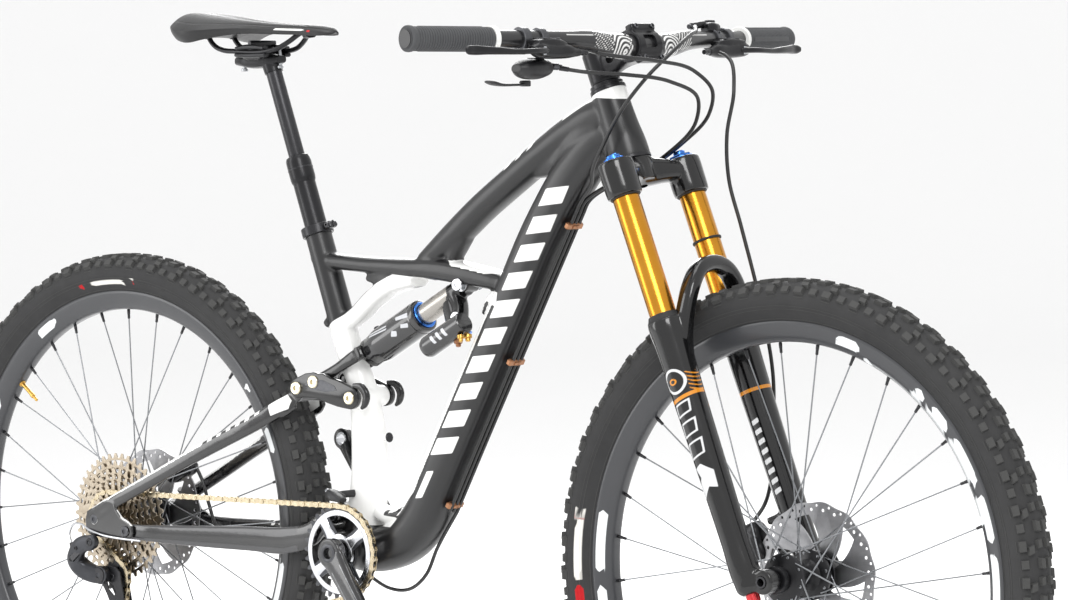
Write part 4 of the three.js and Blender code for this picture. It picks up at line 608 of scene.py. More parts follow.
# ------------------------------------------------------------------ frame
HT0, HT1 = 567, 664
def frame_chunks():
    c = []
    c.append(loft([(SV(HT0), 26.5, 26.5), (SV(575), 27, 26.5), (SV(590), 26.8, 26), (SV(612), 24.8, 23.8), (SV(640), 23.4, 22.6), (SV(HT1), 23, 22.3)], 40, 5))
    c.append(loft([(552, 0, 735, 14, 15, 2.3), (600, 0, 769, 18, 19.5, 2.4), (655, 0, 811, 18.4, 21, 2.5), (705, 0, 845, 18.6, 21.6, 2.5), (750, 0, 875, 19.4, 22, 2.4), (800, 0, 905, 21.5, 22.6, 2.3), (842, 0, 923, 26, 22, 2.2), (876, 0, 930, 31, 20, 2.1)], 36, 6))
    c.append(loft([(886, 0, 911, 25, 20, 2.2), (846, 0, 889, 27, 25, 2.6), (808, 0, 851, 27.5, 28, 3), (772, 0, 800, 27.5, 29, 3.4), (700, 0, 671, 27.5, 29.5, 3.6), (640, 0, 563, 27.8, 29.8, 3.6), (577, 0, 450, 28, 30, 3.2), (551, 0, 402, 29, 30.6, 2.8), (516, 0, 368, 30, 31.5, 2.6), (478, 0, 353.5, 30, 33, 2.5), (441, 0, 350, 30, 35, 2.4)], 40, 6))
    c.append(loft([(SEAT(0), 18, 18), (SEAT(-100), 18.2, 18.2), (SEAT(-185), 18.6, 18.4), (432, 0, 576, 19, 18.5), (441, 0, 545, 20.5, 19.5, 2.2), (447, 0, 506, 23.5, 20.5, 2.4), (447, 0, 440, 24.5, 21.5, 2.4), (443, 0, 395, 26.5, 25, 2.4), (440, 0, 352, 28, 31, 2.2)], 36, 5))
    c.append(loft([(352, 0, 735.5, 7, 11, 2.2), (370, 0, 734, 9.6, 14, 2.4), (400, 0, 732, 10.3, 16, 2.5), (450, 0, 729.5, 10.8, 18, 2.6), (520, 0, 728, 12, 20, 2.8), (590, 0, 726, 14.5, 21.5, 3.2), (650, 0, 719.5, 13.5, 21.8, 3.4), (700, 0, 713, 11, 21, 3), (724, 0, 714, 11, 18, 2.4)], 36, 5))
    c.append(loft([(392, 0, 641, 12, 13, 2.4), (432, 0, 663, 12.5, 15.6, 2.6), (460, 0, 685, 12.5, 17, 2.8), (490, 0, 702, 12, 18, 2.8), (540, 0, 713, 10, 19, 2.8)], 32, 5))
    c.append(yrod(BB[0], BB[1], -44, 44, 25.5, 40, 1.5))
    c.append(yrod(MP[0], MP[1], -24, 24, 14.4, 32, .8)); c.append(yrod(RP[0], RP[1], -28.6, 28.6, 14.5, 32, 1.0))
    c.append(rod((462, 0, 500), (483, 0, 501.2), 5.2, 20, 5.0, .8))
    # webs that round off the inner corners, and the gusset behind the head tube
    c.append(loft([(600, 0, 741, 8, 13, 3), (607, 0, 752, 9, 14, 3), (622, 0, 770, 8, 13, 3)], 24, 3))
    c.append(loft([(738, 0, 852, 5, 9, 2.4), (768, 0, 866, 16, 16, 2.6), (805, 0, 882, 24, 21, 3)], 24, 3))
    c.append(loft([(762, 0, 862, 8, 10, 2.4), (794, 0, 874, 24, 19, 2.8), (828, 0, 893, 34, 23, 3), (862, 0, 912, 36, 21, 3)], 28, 4))
    c.append(loft([(696, 0, 716, 8, 16, 3), (711, 0, 724, 10, 20, 3), (728, 0, 737, 9, 22, 3)], 24, 3))
    c.append(loft([(690, 0, 700, 9, 18, 3), (676, 0, 690, 9, 20, 3), (664, 0, 672, 5, 18, 3)], 24, 3))
    c.append(loft([(470, 0, 402, 9, 17, 3), (492, 0, 397, 10, 22, 3), (518, 0, 405, 8, 20, 3)], 24, 3))
    c.append(loft([(452, 0, 712, 5, 11, 3), (470, 0, 712, 8, 14, 3), (500, 0, 718, 8, 16, 3)], 24, 3))
    c.append(loft([(376, 0, 648, 6, 12, 3), (390, 0, 655, 9, 13, 3), (408, 0, 664, 7, 12, 3)], 24, 3))
    return c
cuts = [rod(SV(HT0 - 8), SV(HT1 + 8), 19.5, 40), rod(SEAT(-190), SEAT(8), 15.9, 32), yrod(BB[0], BB[1], -60, 60, 17, 32), yrod(MP[0], MP[1], -60, 60, 6.6, 20), yrod(RP[0], RP[1], -60, 60, 6.6, 20),
        obox((612, 0, 701), (76, 30, 40), bev=4), yrod(SE[0], SE[1], -60, 60, 5.8, 20)]
fr = fuse(frame_chunks(), 2.2 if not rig.quick() else 3.5, 7, .5, cuts)
GA, GD = np.array([590.0, 480.0]), unit((228.0, 400.0)); GN = np.array([GD[1], -GD[0]])
def bar_shape(t, ln, a=-9, b=21, sl=22): return [tuple(GA + GD * (t + sl * (a - 0) / 30) + GN * a), tuple(GA + GD * (t + sl * (b - 0) / 30) + GN * b), tuple(GA + GD * (t + ln + sl * b / 30) + GN * b), tuple(GA + GD * (t + ln + sl * a / 30) + GN * a)]
GRAPHIC = [bar_shape(8 + 42 * i, 26) for i in range(10)] + [bar_shape(-60, 42, -3, 7)]
def frame_white_and_highlight(p, n):
    q = xz(p)
    cap = inter(sd_poly(q, [(800, 922), (838, 944), (862, 952), (905, 950), (930, 1010), (820, 1010)]), )
    st = sd_poly(q, [(383, 641), (410, 634), (428, 640), (455, 664), (490, 688), (540, 703.5), (700, 702), (698, 684), (560, 716), (505, 719), (470, 704), (430, 672), (398, 652)])
    seat = sd_poly(q, [(380, 640), (398, 650), (422, 644), (440, 620), (462, 600), (486, 520), (492, 400), (520, 398), (510, 386), (470, 384), (452, 386), (428, 404), (405, 428), (408, 470), (412, 540), (400, 600)])
    inner = sd_poly(q, [(500, 398), (524, 398), (548, 430), (600, 530), (640, 606), (668, 663), (684, 690), (700, 702), (676, 704), (650, 690), (590, 560), (540, 452), (518, 414)])
    inner = inter(inner, 12.0 - (p - np.array([577, 0, 450])) @ np.array([0, 0, 0]) if False else inner)
    dash = union(*[inter(sd_poly(q, [(x, 820 + .62 * (x - 655) + 9), (x + 14, 820 + .62 * (x - 641) + 9), (x + 26, 860 + .62 * (x - 641)), (x + 12, 860 + .62 * (x - 655))]), 6.0 - np.abs(p[:, 1] + 6)) if False else sd_poly(q, [(x, 828 + .63 * (x - 655)), (x + 9, 829 + .63 * (x - 646)), (x + 16, 862 + .63 * (x - 646)), (x + 7, 862 + .63 * (x - 655))]) for x in (702, 722, 742)])
    dash = inter(dash, np.where(n[:, 2] > .35, -3.0, 3.0))
    side = np.where(np.abs(n[:, 1]) > .35, -3.0, 3.0)
    g = inter(union(*[sd_poly(q, k) for k in GRAPHIC]), side)
    win = inter(sd_poly(q, [(600, 742), (612, 746), (690, 730), (700, 726), (660, 724), (612, 733)]), np.where(n[:, 2] > .5, -3.0, 3.0))
    # a painted highlight: a white line along the down tube's upper inner face, on the faces turned up and rearwards
    # towards the light
    painted_highlight_line = inter(sd_poly(q, [(536, 420), (520, 402), (500, 396), (500, 410), (520, 420), (600, 568), (664, 690), (690, 704), (705, 700), (694, 690), (676, 662), (608, 530), (560, 442)]), np.where((n @ np.array([-.87, 0, .49])) > .30, -3.0, 3.0))
    return union(cap, st, seat, g, win, painted_highlight_line, dash)
M_FRAME = painted("m_carbon_frame", srgb("0f0f10"), srgb("161618"), .38, .2, [("w", WHITE)], .4, .18)
# the frame's white layer holds printed graphics and a painted highlight line on the down tube
add("frame_shell", fr, M_FRAME, "frame", "front_frame", "carbon_frame", 40, attrs={"w": frame_white_and_highlight})
add("headset_cups", [ringc(SV(HT0 - 1.2), SV(HT0 + 3.5), 19.8, 26.9, 56, .8), ringc(SV(HT1 - 3.5), SV(HT1 + 1), 16.6, 23.3, 48, .8), ringc((BB[0], -45.5, BB[1]), (BB[0], -43, BB[1]), 14, 24.5, 48, .6), ringc((BB[0], 43, BB[1]), (BB[0], 45.5, BB[1]), 14, 24.5, 48, .6)], M_BLACK, "frame", None, "black_alu", 30)
cl = lambda z, off=31.5: DT(z, off)
clips = []
for z in (806, 628, 436):
    c = DT(z, 34.5); b_ = DTDIR; nrm = np.array([0.8736, 0, -0.4866])
    clips += [obox(c, (7.5, 30, 9), nrm, Y, 1.6), obox(c + nrm * 4, (3, 12, 5), nrm, Y, .8), bolt(c + nrm * 4.2, nrm, 2.6, 1.6, seg=14)]
add("cable_clips", clips, M_COPPER, "frame", None, None, 35)
add("downtube_housings", [tube([DT(822, 35, y), DT(700, 35.2, y), DT(600, 35.5, y), DT(500, 36, y), DT(428, 37, y)], 2.45, 12, 6) for y in (-8, 0, 8)], M_HOSE, "frame", "downtube_cables", "hose", 60)
# white decal bits and trim on the frame are painted, and so is a white painted highlight line along the down tube; the
# small parts are solid
add("frame_bolts", [bolt((RP[0], s * 28.6, RP[1]), (0, s, 0), 9, .6) for s in (-1, 1)] + [rod((482.5, 0, 501.2), (485.5, 0, 501.6), 6.6, 20, bev=.8)], M_BLACK, "frame", None, "black_alu", 30)
# seat collar
col = [ringc(SEAT(-9), SEAT(3.5), 18.3, 21.6, 48, .7), obox(SEAT(-3, 25), (13, 14, 9), SN, Y, 1.4), bolt(SEAT(-3, 27, -6.5), (0, -1, 0), 3.6, 4.0), rod(SEAT(-3, 27, 6.5), SEAT(-3, 27, 9), 3.4, 20, bev=.5), obox(SEAT(-3, 28), (9, 2.2, 9.6), SN, Y, .2)]
add("seat_clamp", col, M_BLACK, "frame", "seat_collar", "black_alu", 35)
# dropper post
add("dropper_lower", [lathe([(11.7, 60), (11.7, 92), (14.2, 102.6), (15.4, 102), (16.2, 99), (16.9, 95), (17.1, 90), (17.1, 70), (16.6, 67.4), (15.25, 65), (15.2, 64), (15.2, -180), (11.7, -180), (11.7, 60)], SEAT(0), SD, 48)] if False else
    [lathe([(11.7, 102.4), (13.6, 102.8), (15.6, 101.6), (16.6, 98.6), (17.0, 94), (17.0, 72), (16.4, 68), (15.25, 65.4), (15.2, 64), (15.2, -184), (11.7, -184), (11.7, 102.4)], SEAT(0), SD, 48)] + [lathe([(17.0, 84), (17.35, 84.3), (17.35, 85.7), (17.0, 86), (16.8, 85), (17.0, 84)], SEAT(0), SD, 48)], M_BLACK, "frame", "dropper_outer", "black_alu", 30)
# ------------------------------------------------------------------ fork
LO, LY = 26, 66
for nm, s in (("right", -1), ("left", 1)):
    add("stanchion_tube_" + nm, [lathe([(14.6, 0), (16.6, 0), (17, .5), (17, 355), (16.6, 356), (14.6, 356), (14.6, 0)], SV(199, LO, s * LY), U, 64)], M_GOLD, "steerer", "stanchion_" + nm, "gold_stanchion", 30)
add("stanchion_oring", [lathe([(17.0, 0), (18.6, .3), (18.9, 1.6), (18.6, 2.9), (17.0, 3.2), (17.0, 0)], SV(446, LO, LY), U, 48)], M_RUBBER, "steerer", None, None, 50)
crown = []
for s in (-1, 1):
    crown.append(lathe([(21.4, 511), (22.4, 512), (22.9, 520), (23.3, 548), (22.8, 555), (21.5, 557.5)], A0 + LO * W + np.array([0, s * LY, 0]), U, 48))
crown.append(loft([(SV(535, 27, -62), 13, 9, 2.2), (SV(541, 24, -50), 15.5, 12, 2.5), (SV(546, 17, -34), 16.5, 15, 2.6), (SV(549, 7, -16), 18, 18, 2.6), (SV(550, 3, 0), 18.5, 20, 2.5), (SV(549, 7, 16), 18, 18, 2.6), (SV(546, 17, 34), 16.5, 15, 2.6), (SV(541, 24, 50), 15.5, 12, 2.5), (SV(535, 27, 62), 13, 9, 2.2)], 32, 5, U))
crown.append(rod(SV(536), SV(566.3), 25, 48, 26.4, 1.0))
crown.append(rod(SV(560), SV(710), 14.3, 32))
cr_cuts = [rod(SV(500, LO, s * LY), SV(553, LO, s * LY), 17.3, 48) for s in (-1, 1)] + [rod(SV(525, 0), SV(552, 0), 11, 32)]
cr = fuse(crown, 1.6 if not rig.quick() else 2.6, 5, .5, cr_cuts)
add("fork_crown_shell", cr, M_GLOSS, "steerer", "fork_crown", "gloss_black", 45)
add("crown_seals", [ringc(SV(509.5, LO, s * LY), SV(513.5, LO, s * LY), 17.15, 19.6, 48, .8) for s in (-1, 1)], M_RUBBER, "steerer", None, None, 30)
def dial(c, r, h, n, d=U):
    ch = [lathe([(r - 1.2, 0), (r, .8), (r, h - 1), (r - 1, h), (r * .55, h), (r * .5, h - 1.2), (r * .2, h - 1.2)], c, d, 48)]
    x = unit(np.cross(d, Y)); 
    for i in range(n):
        a = 2 * math.pi * i / n; e = x * math.cos(a) + np.cross(unit(d), x) * math.sin(a); ch.append(obox(c + e * (r - .1) + unit(d) * h / 2, (1.1, 1.3, h * .62), e, np.cross(unit(d), e), .3))
    return ch
add("dial_compression", dial(SV(558, LO, -LY), 12.3, 4, 18) + [lathe([(9, 3.8), (9, 6.6), (8, 7.4), (4, 7.4)], SV(558, LO, -LY), U, 32), obox(SV(566, LO, -LY), (13, 4, 2.6), W, Y, .8)], M_BLUE, "compression_dial", "compression_dial", "blue_anod", 35)
add("cap_right_skirt", [ringc(SV(556.4, LO, -LY), SV(557.8, LO, -LY), 12.8, 19, 48, .5)], M_BLACK, "steerer", None, "black_alu", 30)
add("air_cap", [lathe([(19, -1.6), (19, .2), (15.5, .6), (15.5, 3.2), (14.5, 4.2), (7.6, 4.2)], SV(558, LO, LY), U, 6), ringc(SV(556.4, LO, LY), SV(558.6, LO, LY), 8, 19, 48, .5), lathe([(7.6, 3.6), (7.6, 9), (6.6, 10), (3, 10)], SV(558, LO, LY), U, 32)], M_BLUE, "steerer", None, "blue_anod", 35)
low = []
for s in (-1, 1):
    low.append(loft([(SV(-8, LO, s * LY), 11, 12), (SV(-4, LO, s * LY), 15, 16), (SV(8, LO, s * LY), 18, 17.6), (SV(60, LO, s * LY), 18.2, 18.0), (SV(170, LO, s * LY), 19.6, 19.6), (SV(262, LO, s * LY), 21.2, 20.8), (SV(318, LO + .5, s * LY), 22.6, 22), (SV(342, LO, s * LY), 23.4, 22.8), (SV(347.5, LO, s * LY), 22.9, 22.3)], 44, 5))
    low.append(lathe([(15.6, 0), (16.2, 1), (16.2, 14.5), (15.2, 16), ] if s > 0 else [(14.8, 0), (15.6, 1), (15.6, 18), (14.6, 19)], (1162, s * 55.6, 367), (0, s, 0), 40))
    low.append(loft([(SV(16, 27, s * 64), 17, 10, 2.6), (SV(4, 42, s * 64.5), 15, 9, 2.6), (SV(0, 51, s * 65), 14, 8, 2.6)], 28, 4, Y))
arch = [(262, 30, 59, 7, 7), (300, 34, 60.5, 12, 12), (326, 42, 59, 11, 12.5), (352, 53, 54, 9.5, 12.5), (378, 63, 43, 9.5, 13), (395, 68, 28, 10, 12.5), (402, 70, 10, 10.5, 12)]
low.append(loft([(SV(a, b, -c), d, e, 2.6) for a, b, c, d, e in arch] + [(SV(a, b, c), d, e, 2.6) for a, b, c, d, e in reversed(arch)], 32, 5, W))
low += [loft([(SV(46, 16, 60), 6, 6.5, 3), (SV(46, -8, 54), 5, 5, 3)], 20, 3), loft([(SV(86, 16, 60), 6, 6.5, 3), (SV(86, -8, 54), 5, 5, 3)], 20, 3)]
lw_cuts = [rod(SV(45, LO, s * LY), SV(360, LO, s * LY), 17.3, 40) for s in (-1, 1)] + [rod((1162, -90, 367), (1162, 100, 367), 8.2, 32)]
# windows under the arch, seen from the front: the list below is empty, so none are cut
lw_cuts += [loft([(SV(346, 61 + 13, s * 40), 6, 8, 2.4), (SV(346, 61 - 1, s * 40), 6, 8, 2.4)], 24, 2, Y) for s in ()]
lw = fuse(low, 1.8 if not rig.quick() else 3, 6, .5, lw_cuts)
def leg_co(p):
    q = p - A0; return q @ U, q @ W - LO, p[:, 1]
def band(p, s0, s1, tilt=0.0):
    s, v, y = leg_co(p); return np.abs(s + tilt * v - (s0 + s1) / 2) - (s1 - s0) / 2
def ang_leg(p):
    s, v, y = leg_co(p); return np.degrees(np.arctan2(-(y + LY), v))  # 90 faces the drive side, 0 forwards
def lw_white(p, n):
    s, v, y = leg_co(p); side = np.where(p[:, 1] < -LY + 6, -3.0, 3.0); q = np.stack([v, s], 1); d = []
    # outlined blocks down the outer face of the right leg
    for s0, s1 in ((222, 240), (196, 216), (168, 190)):
        o = sd_poly(q, [(-13, s0), (11, s0 + 5), (13, s1 + 4), (-11, s1)]); d.append(np.abs(o + 1.6) - 1.1)
    d.append(sd_poly(q, [(-12, 118), (2, 132), (12, 128), (13, 150), (0, 162), (-12, 158), (-6, 146), (-13, 136)]))
    d.append(np.abs(np.hypot(q[:, 0], q[:, 1] - 268) - 14.2) - 1.6)
    w = inter(union(*d), side)
    # small blocks along the inner side of the left leg
    q2 = np.stack([v, s], 1); inn = np.where(p[:, 1] < LY - 4, -3.0, 3.0) + np.where(p[:, 1] > 0, 0, 9.0)
    e = [sd_poly(q2, [(-6, k), (5, k + 2), (5, k + 8), (-6, k + 6)]) for k in range(112, 206, 13)]
    return union(w, inter(union(*e), inn))
def lw_gold(p, n):
    s, v, y = leg_co(p); side = np.where(p[:, 1] < -LY + 8, -3.0, 3.0) ; r = np.hypot(v, s - 268)
    st = np.abs(s - .15 * v - 246) - 2.2; hatch = inter(np.abs(s - 262) - 14, np.abs(((s + v * .8) % 5.2) - 2.6) - .9, np.where(np.abs(v) > 15.2, -3.0, 3.0))
    return union(inter(union(st, hatch), side, 16 - r), inter(np.abs(np.hypot(v + 1.5, (s - 268) * 1.4) - 4.5) - 1.3, side), inter(np.abs(s - 246) - 2.2, np.where(p[:, 1] > 0, -3.0, 3.0)))
M_LOWERS = painted("m_fork_lowers", srgb("080809"), srgb("0d0d0e"), .15, .25, [("w", srgb("d9dadb")), ("g", srgb("d98a1e"))], .0, .02)
add("fork_lowers_shell", lw, M_LOWERS, "lowers", "fork_lowers", "gloss_black", 45, attrs={"w": lw_white, "g": lw_gold})
add("fork_seals", [lathe([(17.1, 345), (21.8, 345.5), (22.2, 347.5), (20.6, 350), (19.2, 354.5), (17.3, 355), (17.1, 345)], A0 + LO * W + np.array([0, s * LY, 0]), U, 48) for s in (-1, 1)], M_RUBBER, "lowers", None, None, 30)
add("axle_front", [lathe([(5, -76), (7.4, -76), (7.4, 80), (5, 80), (5, -76)], (1162, 0, 367), Y, 32), lathe([(5.5, 80.4), (11.4, 80.4), (12, 81.4), (12, 88), (11, 91), (5.5, 91), (5.5, 80.4)], (1162, 0, 367), Y, 36)], M_BLACK, "lowers", "front_axle", "black_alu", 30)
add("axle_lever", [loft([(SV(-3, 51, 87), 5, 2.4, 2.8), (SV(12, 47, 88.5), 4.6, 2.4, 2.8), (SV(34, 39, 90.5), 5.4, 2.6, 2.8), (SV(48, 34, 89.5), 4.6, 2, 2.6)], 24, 5, Y)], M_BLACK, "lowers", None, "black_alu", 40)
def caliper(name, c, ax, body, node, rot_y, post):
    """a two-piston caliper: c centre (x, z), ax unit vector along its length in X-Z."""
    ax = unit(ax); nz = np.cross(ax, Y); C = np.array([c[0], 44.5, c[1]])
    parts = [loft([(C - ax * 25, 8, 9, 3), (C - ax * 20, 10.5, 12.5, 3.4), (C, 11.5, 14, 3.6), (C + ax * 20, 10.5, 12.5, 3.4), (C + ax * 25, 8, 9, 3)], 32, 4, Y),
             rod(C + Y * 10, C + Y * 15.5, 11, 32, bev=1.2)]
    if body == "lowers": parts.append(rod(C - Y * 12 + [0, 0, 0], C - Y * 16, 9, 24, bev=1))
    cuts = [ringc((1162 if body == "lowers" else 0, rot_y - 1.7, 367), (1162 if body == "lowers" else 0, rot_y + 1.7, 367), 40, 93, 96, .1)]
    me = fuse(parts, 1.4 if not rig.quick() else 2.2, 3, .5, cuts)
    add(name, me, M_BLACK, body, node, "black_alu", 45)
    add(name + "_bits", [bolt(C + Y * 15.4, (0, 1, 0), 6.8, 1.6), bolt(C - ax * 17 + Y * 12.2, (0, 1, 0), 3.4, 2.4), bolt(C + ax * 17 + Y * 12.2, (0, 1, 0), 3.4, 2.4), obox(C + nz * 11.5, (16, 6.5, 3), ax, Y, .6)], M_STEEL, body, None, "steel", 35)
fcA = SV(66, -24); caliper("caliper_front", (fcA[0], fcA[2]), U, "lowers", "front_caliper", 37.4, None)
kn = dial(SV(-6.5, LO, -LY), 8.2, 12, 14, -U); add("knob_rebound", kn, M_RED, "rebound_knob", "rebound_knob", "red_anod", 35)

# ------------------------------------------------------------------ cockpit
sp = lambda s: unit(barAt(s * 375) - barAt(s * 240))
hb = [(-375, 11.1), (-300, 11.1), (-240, 11.1), (-180, 11.1), (-125, 11.3), (-95, 13.4), (-62, 15.2), (-38, 15.9), (0, 15.9), (38, 15.9), (62, 15.2), (95, 13.4), (125, 11.3), (180, 11.1), (240, 11.1), (300, 11.1), (375, 11.1)]
def hb_white(p, n):
    y = p[:, 1]; c = np.array([barAt(k) for k in y]); z = p[:, 2] - c[:, 2]; x = p[:, 0] - c[:, 0]; ay = np.abs(y)
    a = np.degrees(np.arctan2(z, x))  # 0 forwards, 90 up, 180 rearwards
    u = np.abs(((a - 60 + 180) % 360) - 180) * np.radians(1) * 13
    arcs = inter(np.abs((np.hypot(ay - 44, (u - 20) * 1.0) % 5.0) - 2.5) - 1.15, np.abs(ay - 48) - 17, u - 34)
    dia = inter(np.abs(((ay + u * 1.1) % 6.0) - 3.0) - 1.1, np.abs(ay - 80) - 15, u - 22)
    line = inter(np.abs(u - 6) - .9, np.abs(ay - 118) - 22)
    return union(arcs, dia, line)
M_BAR = painted("m_bar", srgb("161617"), srgb("202022"), .34, .4, [("w", srgb("e8e8e6"))], .35, .15)
add("bar", [loft([(barAt(y), r, r) for y, r in hb], 48, 14, (1, 0, 0))], M_BAR, "steerer", "handlebar", "carbon_frame", 60, attrs={"w": hb_white})
for nm, s in (("right", -1), ("left", 1)):
    d = sp(s); o = barAt(s * 241.5); x = unit(np.cross(d, [0, 0, 1])); z = np.cross(x, d)
    prof = [(11.3, 7), (14.6, 7.4), (14.9, 10)] 
    L = 10.0
    while L < 124: prof += [(14.95, L), (14.95, L + 2.2), (14.35, L + 2.5), (14.35, L + 3.2), (14.95, L + 3.5)]; L += 3.8
    prof += [(15.0, 125), (15.9, 127), (16.3, 130), (16.0, 132.6), (15.0, 133.4), (11.3, 133.5)]
    add("grip_sleeve_" + nm, [lathe(prof, o, d, 56), rod(o + d * 133.4, o + d * 134.6, 12, 32, bev=.5)], M_GRIP, "steerer", "grip_" + nm, "grip", 30)
    pads = []
    for k in range(7):  # long raised pads between the ribs
        a = math.radians(-60 + 40 * k - 60); e = x * math.cos(a) + z * math.sin(a); t = np.cross(d, e)
        if k in (1, 3, 5): pads.append(obox(o + d * 67 + e * 14.75, (1.1, 6.2, 98), e, t, .5))
    add("grip_pads_" + nm, pads, M_GRIP, "steerer", None, "grip", 40)
    add("grip_collar_" + nm, [lathe([(11.3, 0), (15.8, 0), (16.4, .7), (16.4, 6.3), (15.8, 7), (11.3, 7), (11.3, 0)], o, d, 48), bolt(o + d * 3.5 - z * 15.6, -z, 2.6, 2, seg=16)], M_WHITE, "steerer", None, None, 30)
    # brake master
    c = barAt(s * 200); k = lambda dx, y, dz: np.array([c[0] + dx, s * y, c[2] + dz]); cb = c - d * 7
    parts = [loft([(k(28, 213, -13), 5, 6, 2.6), (k(29, 206, -13), 8, 8.6, 2.8), (k(27, 190, -14), 9.5, 10.2, 3), (k(28, 165, -15), 9, 9.6, 3), (k(30, 146, -15), 8.2, 8.6, 2.6), (k(32, 134, -16), 5.5, 5.6), (k(33, 128, -16), 4.6, 4.6)], 32, 4, (1, 0, 0)),
             obox(k(17, 197, -9), (24, 11, 13), bev=2), loft([(k(25, 205, -5), 4, 9, 3.4), (k(24, 188, -4), 5.5, 11, 3.4), (k(25, 160, -5), 5, 10, 3.4), (k(26, 150, -6), 3, 7, 3)], 28, 4, (1, 0, 0))]
    me = fuse(parts, 1.0 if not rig.quick() else 1.8, 3, .5, [obox(k(40, 212, -14), (30, 26, 8.4), bev=.4), rod(c - d * 30, c + d * 30, 11.3, 32)])
    add("master_body_" + nm, me, M_BLACK, "steerer", "brake_master_" + nm, "black_alu", 40)
    add("master_clamp_" + nm, [ringc(cb, cb + d * 12, 11.35, 15.2, 40, 1.0), obox(cb + d * 6 + np.array([-1, 0, -15.5]), (9, 10, 6), (1, 0, 0), d, 1), bolt(cb + d * 6 + np.array([4, 0, -15.5]), (1, 0, 0), 2.6, 2.4, seg=16), obox(k(24, 178, 1.2), (17, 30, 1.2), bev=.4)] + [bolt(k(24 + q, 178 + r_, 1.7), (0, 0, 1), 1.5, .8, seg=12) for q, r_ in ((-6, -12), (6, -12), (-6, 12), (6, 12))], M_GREYAL, "steerer", None, "black_alu", 35)
    add("master_nut_" + nm, [rod(k(33, 130, -16), k(33.6, 122, -16), 3.9, 6, bev=.4), rod(k(33.5, 123, -16), k(34.5, 116, -16.2), 3.1, 16, bev=.4)], M_BLACK, "steerer", None, "black_alu", 35)
    q = lambda dx, y, dz: np.array([c[0] + 38 + dx, s * y, c[2] - 14 + dz])
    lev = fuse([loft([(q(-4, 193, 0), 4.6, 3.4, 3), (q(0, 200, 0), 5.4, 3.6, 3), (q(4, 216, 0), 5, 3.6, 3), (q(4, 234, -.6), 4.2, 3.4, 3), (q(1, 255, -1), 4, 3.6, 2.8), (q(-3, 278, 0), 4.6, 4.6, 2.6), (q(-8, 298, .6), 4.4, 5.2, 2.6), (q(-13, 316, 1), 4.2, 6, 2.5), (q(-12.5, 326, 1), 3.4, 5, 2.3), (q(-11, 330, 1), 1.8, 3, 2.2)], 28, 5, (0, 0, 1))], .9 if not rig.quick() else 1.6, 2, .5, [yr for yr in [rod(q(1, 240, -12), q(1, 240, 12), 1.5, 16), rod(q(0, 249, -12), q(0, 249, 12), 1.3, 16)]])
    add("lever_blade_" + nm, lev, M_BLACK, "brake_lever_" + nm, "brake_lever_" + nm, "black_alu", 40)
    add("lever_pivot_" + nm, [rod(q(-2, 198, -5.2), q(-2, 198, 5.2), 3, 24, bev=.5)], M_STEEL, "brake_lever_" + nm, None, "steel", 30)
# stem
sm = [loft([(SV(693, -2), 17, 15, 3), (SV(693, 12), 17, 14, 3), (SV(694, 34), 15.5, 14.5, 3), (SV(695, 50), 17, 20, 3.6), (SV(695, 60), 19, 23.4, 4)], 40, 5), rod(SV(671.5), SV(715), 19.2, 48, bev=1.2), ringc(barAt(-24) * [1, 0, 1] - Y * 23.6, barAt(24) * [1, 0, 1] + Y * 23.6, 14, 20.6, 48, .8)]
bc = barAt(0); big = obox(bc + W * 31.0, (60, 80, 80), W, Y, .1)
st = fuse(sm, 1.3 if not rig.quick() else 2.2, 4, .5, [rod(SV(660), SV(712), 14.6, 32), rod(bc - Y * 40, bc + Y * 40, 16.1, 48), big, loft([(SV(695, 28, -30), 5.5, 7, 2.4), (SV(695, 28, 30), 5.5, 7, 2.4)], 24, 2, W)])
add("stem_body", st, M_BLACK, "steerer", "stem", "black_alu", 40)
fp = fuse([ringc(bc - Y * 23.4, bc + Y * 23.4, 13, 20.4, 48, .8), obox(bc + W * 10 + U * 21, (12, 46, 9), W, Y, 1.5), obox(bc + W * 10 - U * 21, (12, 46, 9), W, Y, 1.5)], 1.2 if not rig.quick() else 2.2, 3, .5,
          [rod(bc - Y * 40, bc + Y * 40, 16.1, 48), obox(bc - W * 28.6, (60, 80, 90), W, Y, .1), obox(bc + W * 18, (20, 22, 17), W, Y, 2)])
add("faceplate_body", fp, M_BLACK, "steerer", "stem_faceplate", "black_alu", 40)
add("stem_bolts", [bolt(bc + W * 15.4 + U * a + Y * b, W, 3.4, 3, seg=18) for a in (-21, 21) for b in (-16, 16)] + [bolt(SV(715.2), U, 7.4, 1.2, 2.6, 28)] + [bolt(SV(k_, -17.5, 0) , -W, 2.9, 2.6, seg=18) for k_ in (682, 702)], M_GREYAL, "steerer", None, "black_alu", 35)
add("top_cap", [lathe([(17.6, 714.6), (18.4, 715.2), (18, 716.4), (16, 716.9), (8, 716.9), (7.6, 715.2), (1, 715.2)], A0, U, 56), ringc(SV(665.2), SV(671.3), 14.6, 21.5, 56, .7), ringc(SV(664.6), SV(666), 15, 23, 56, .4)], M_BLACK, "steerer", None, "black_alu", 30)
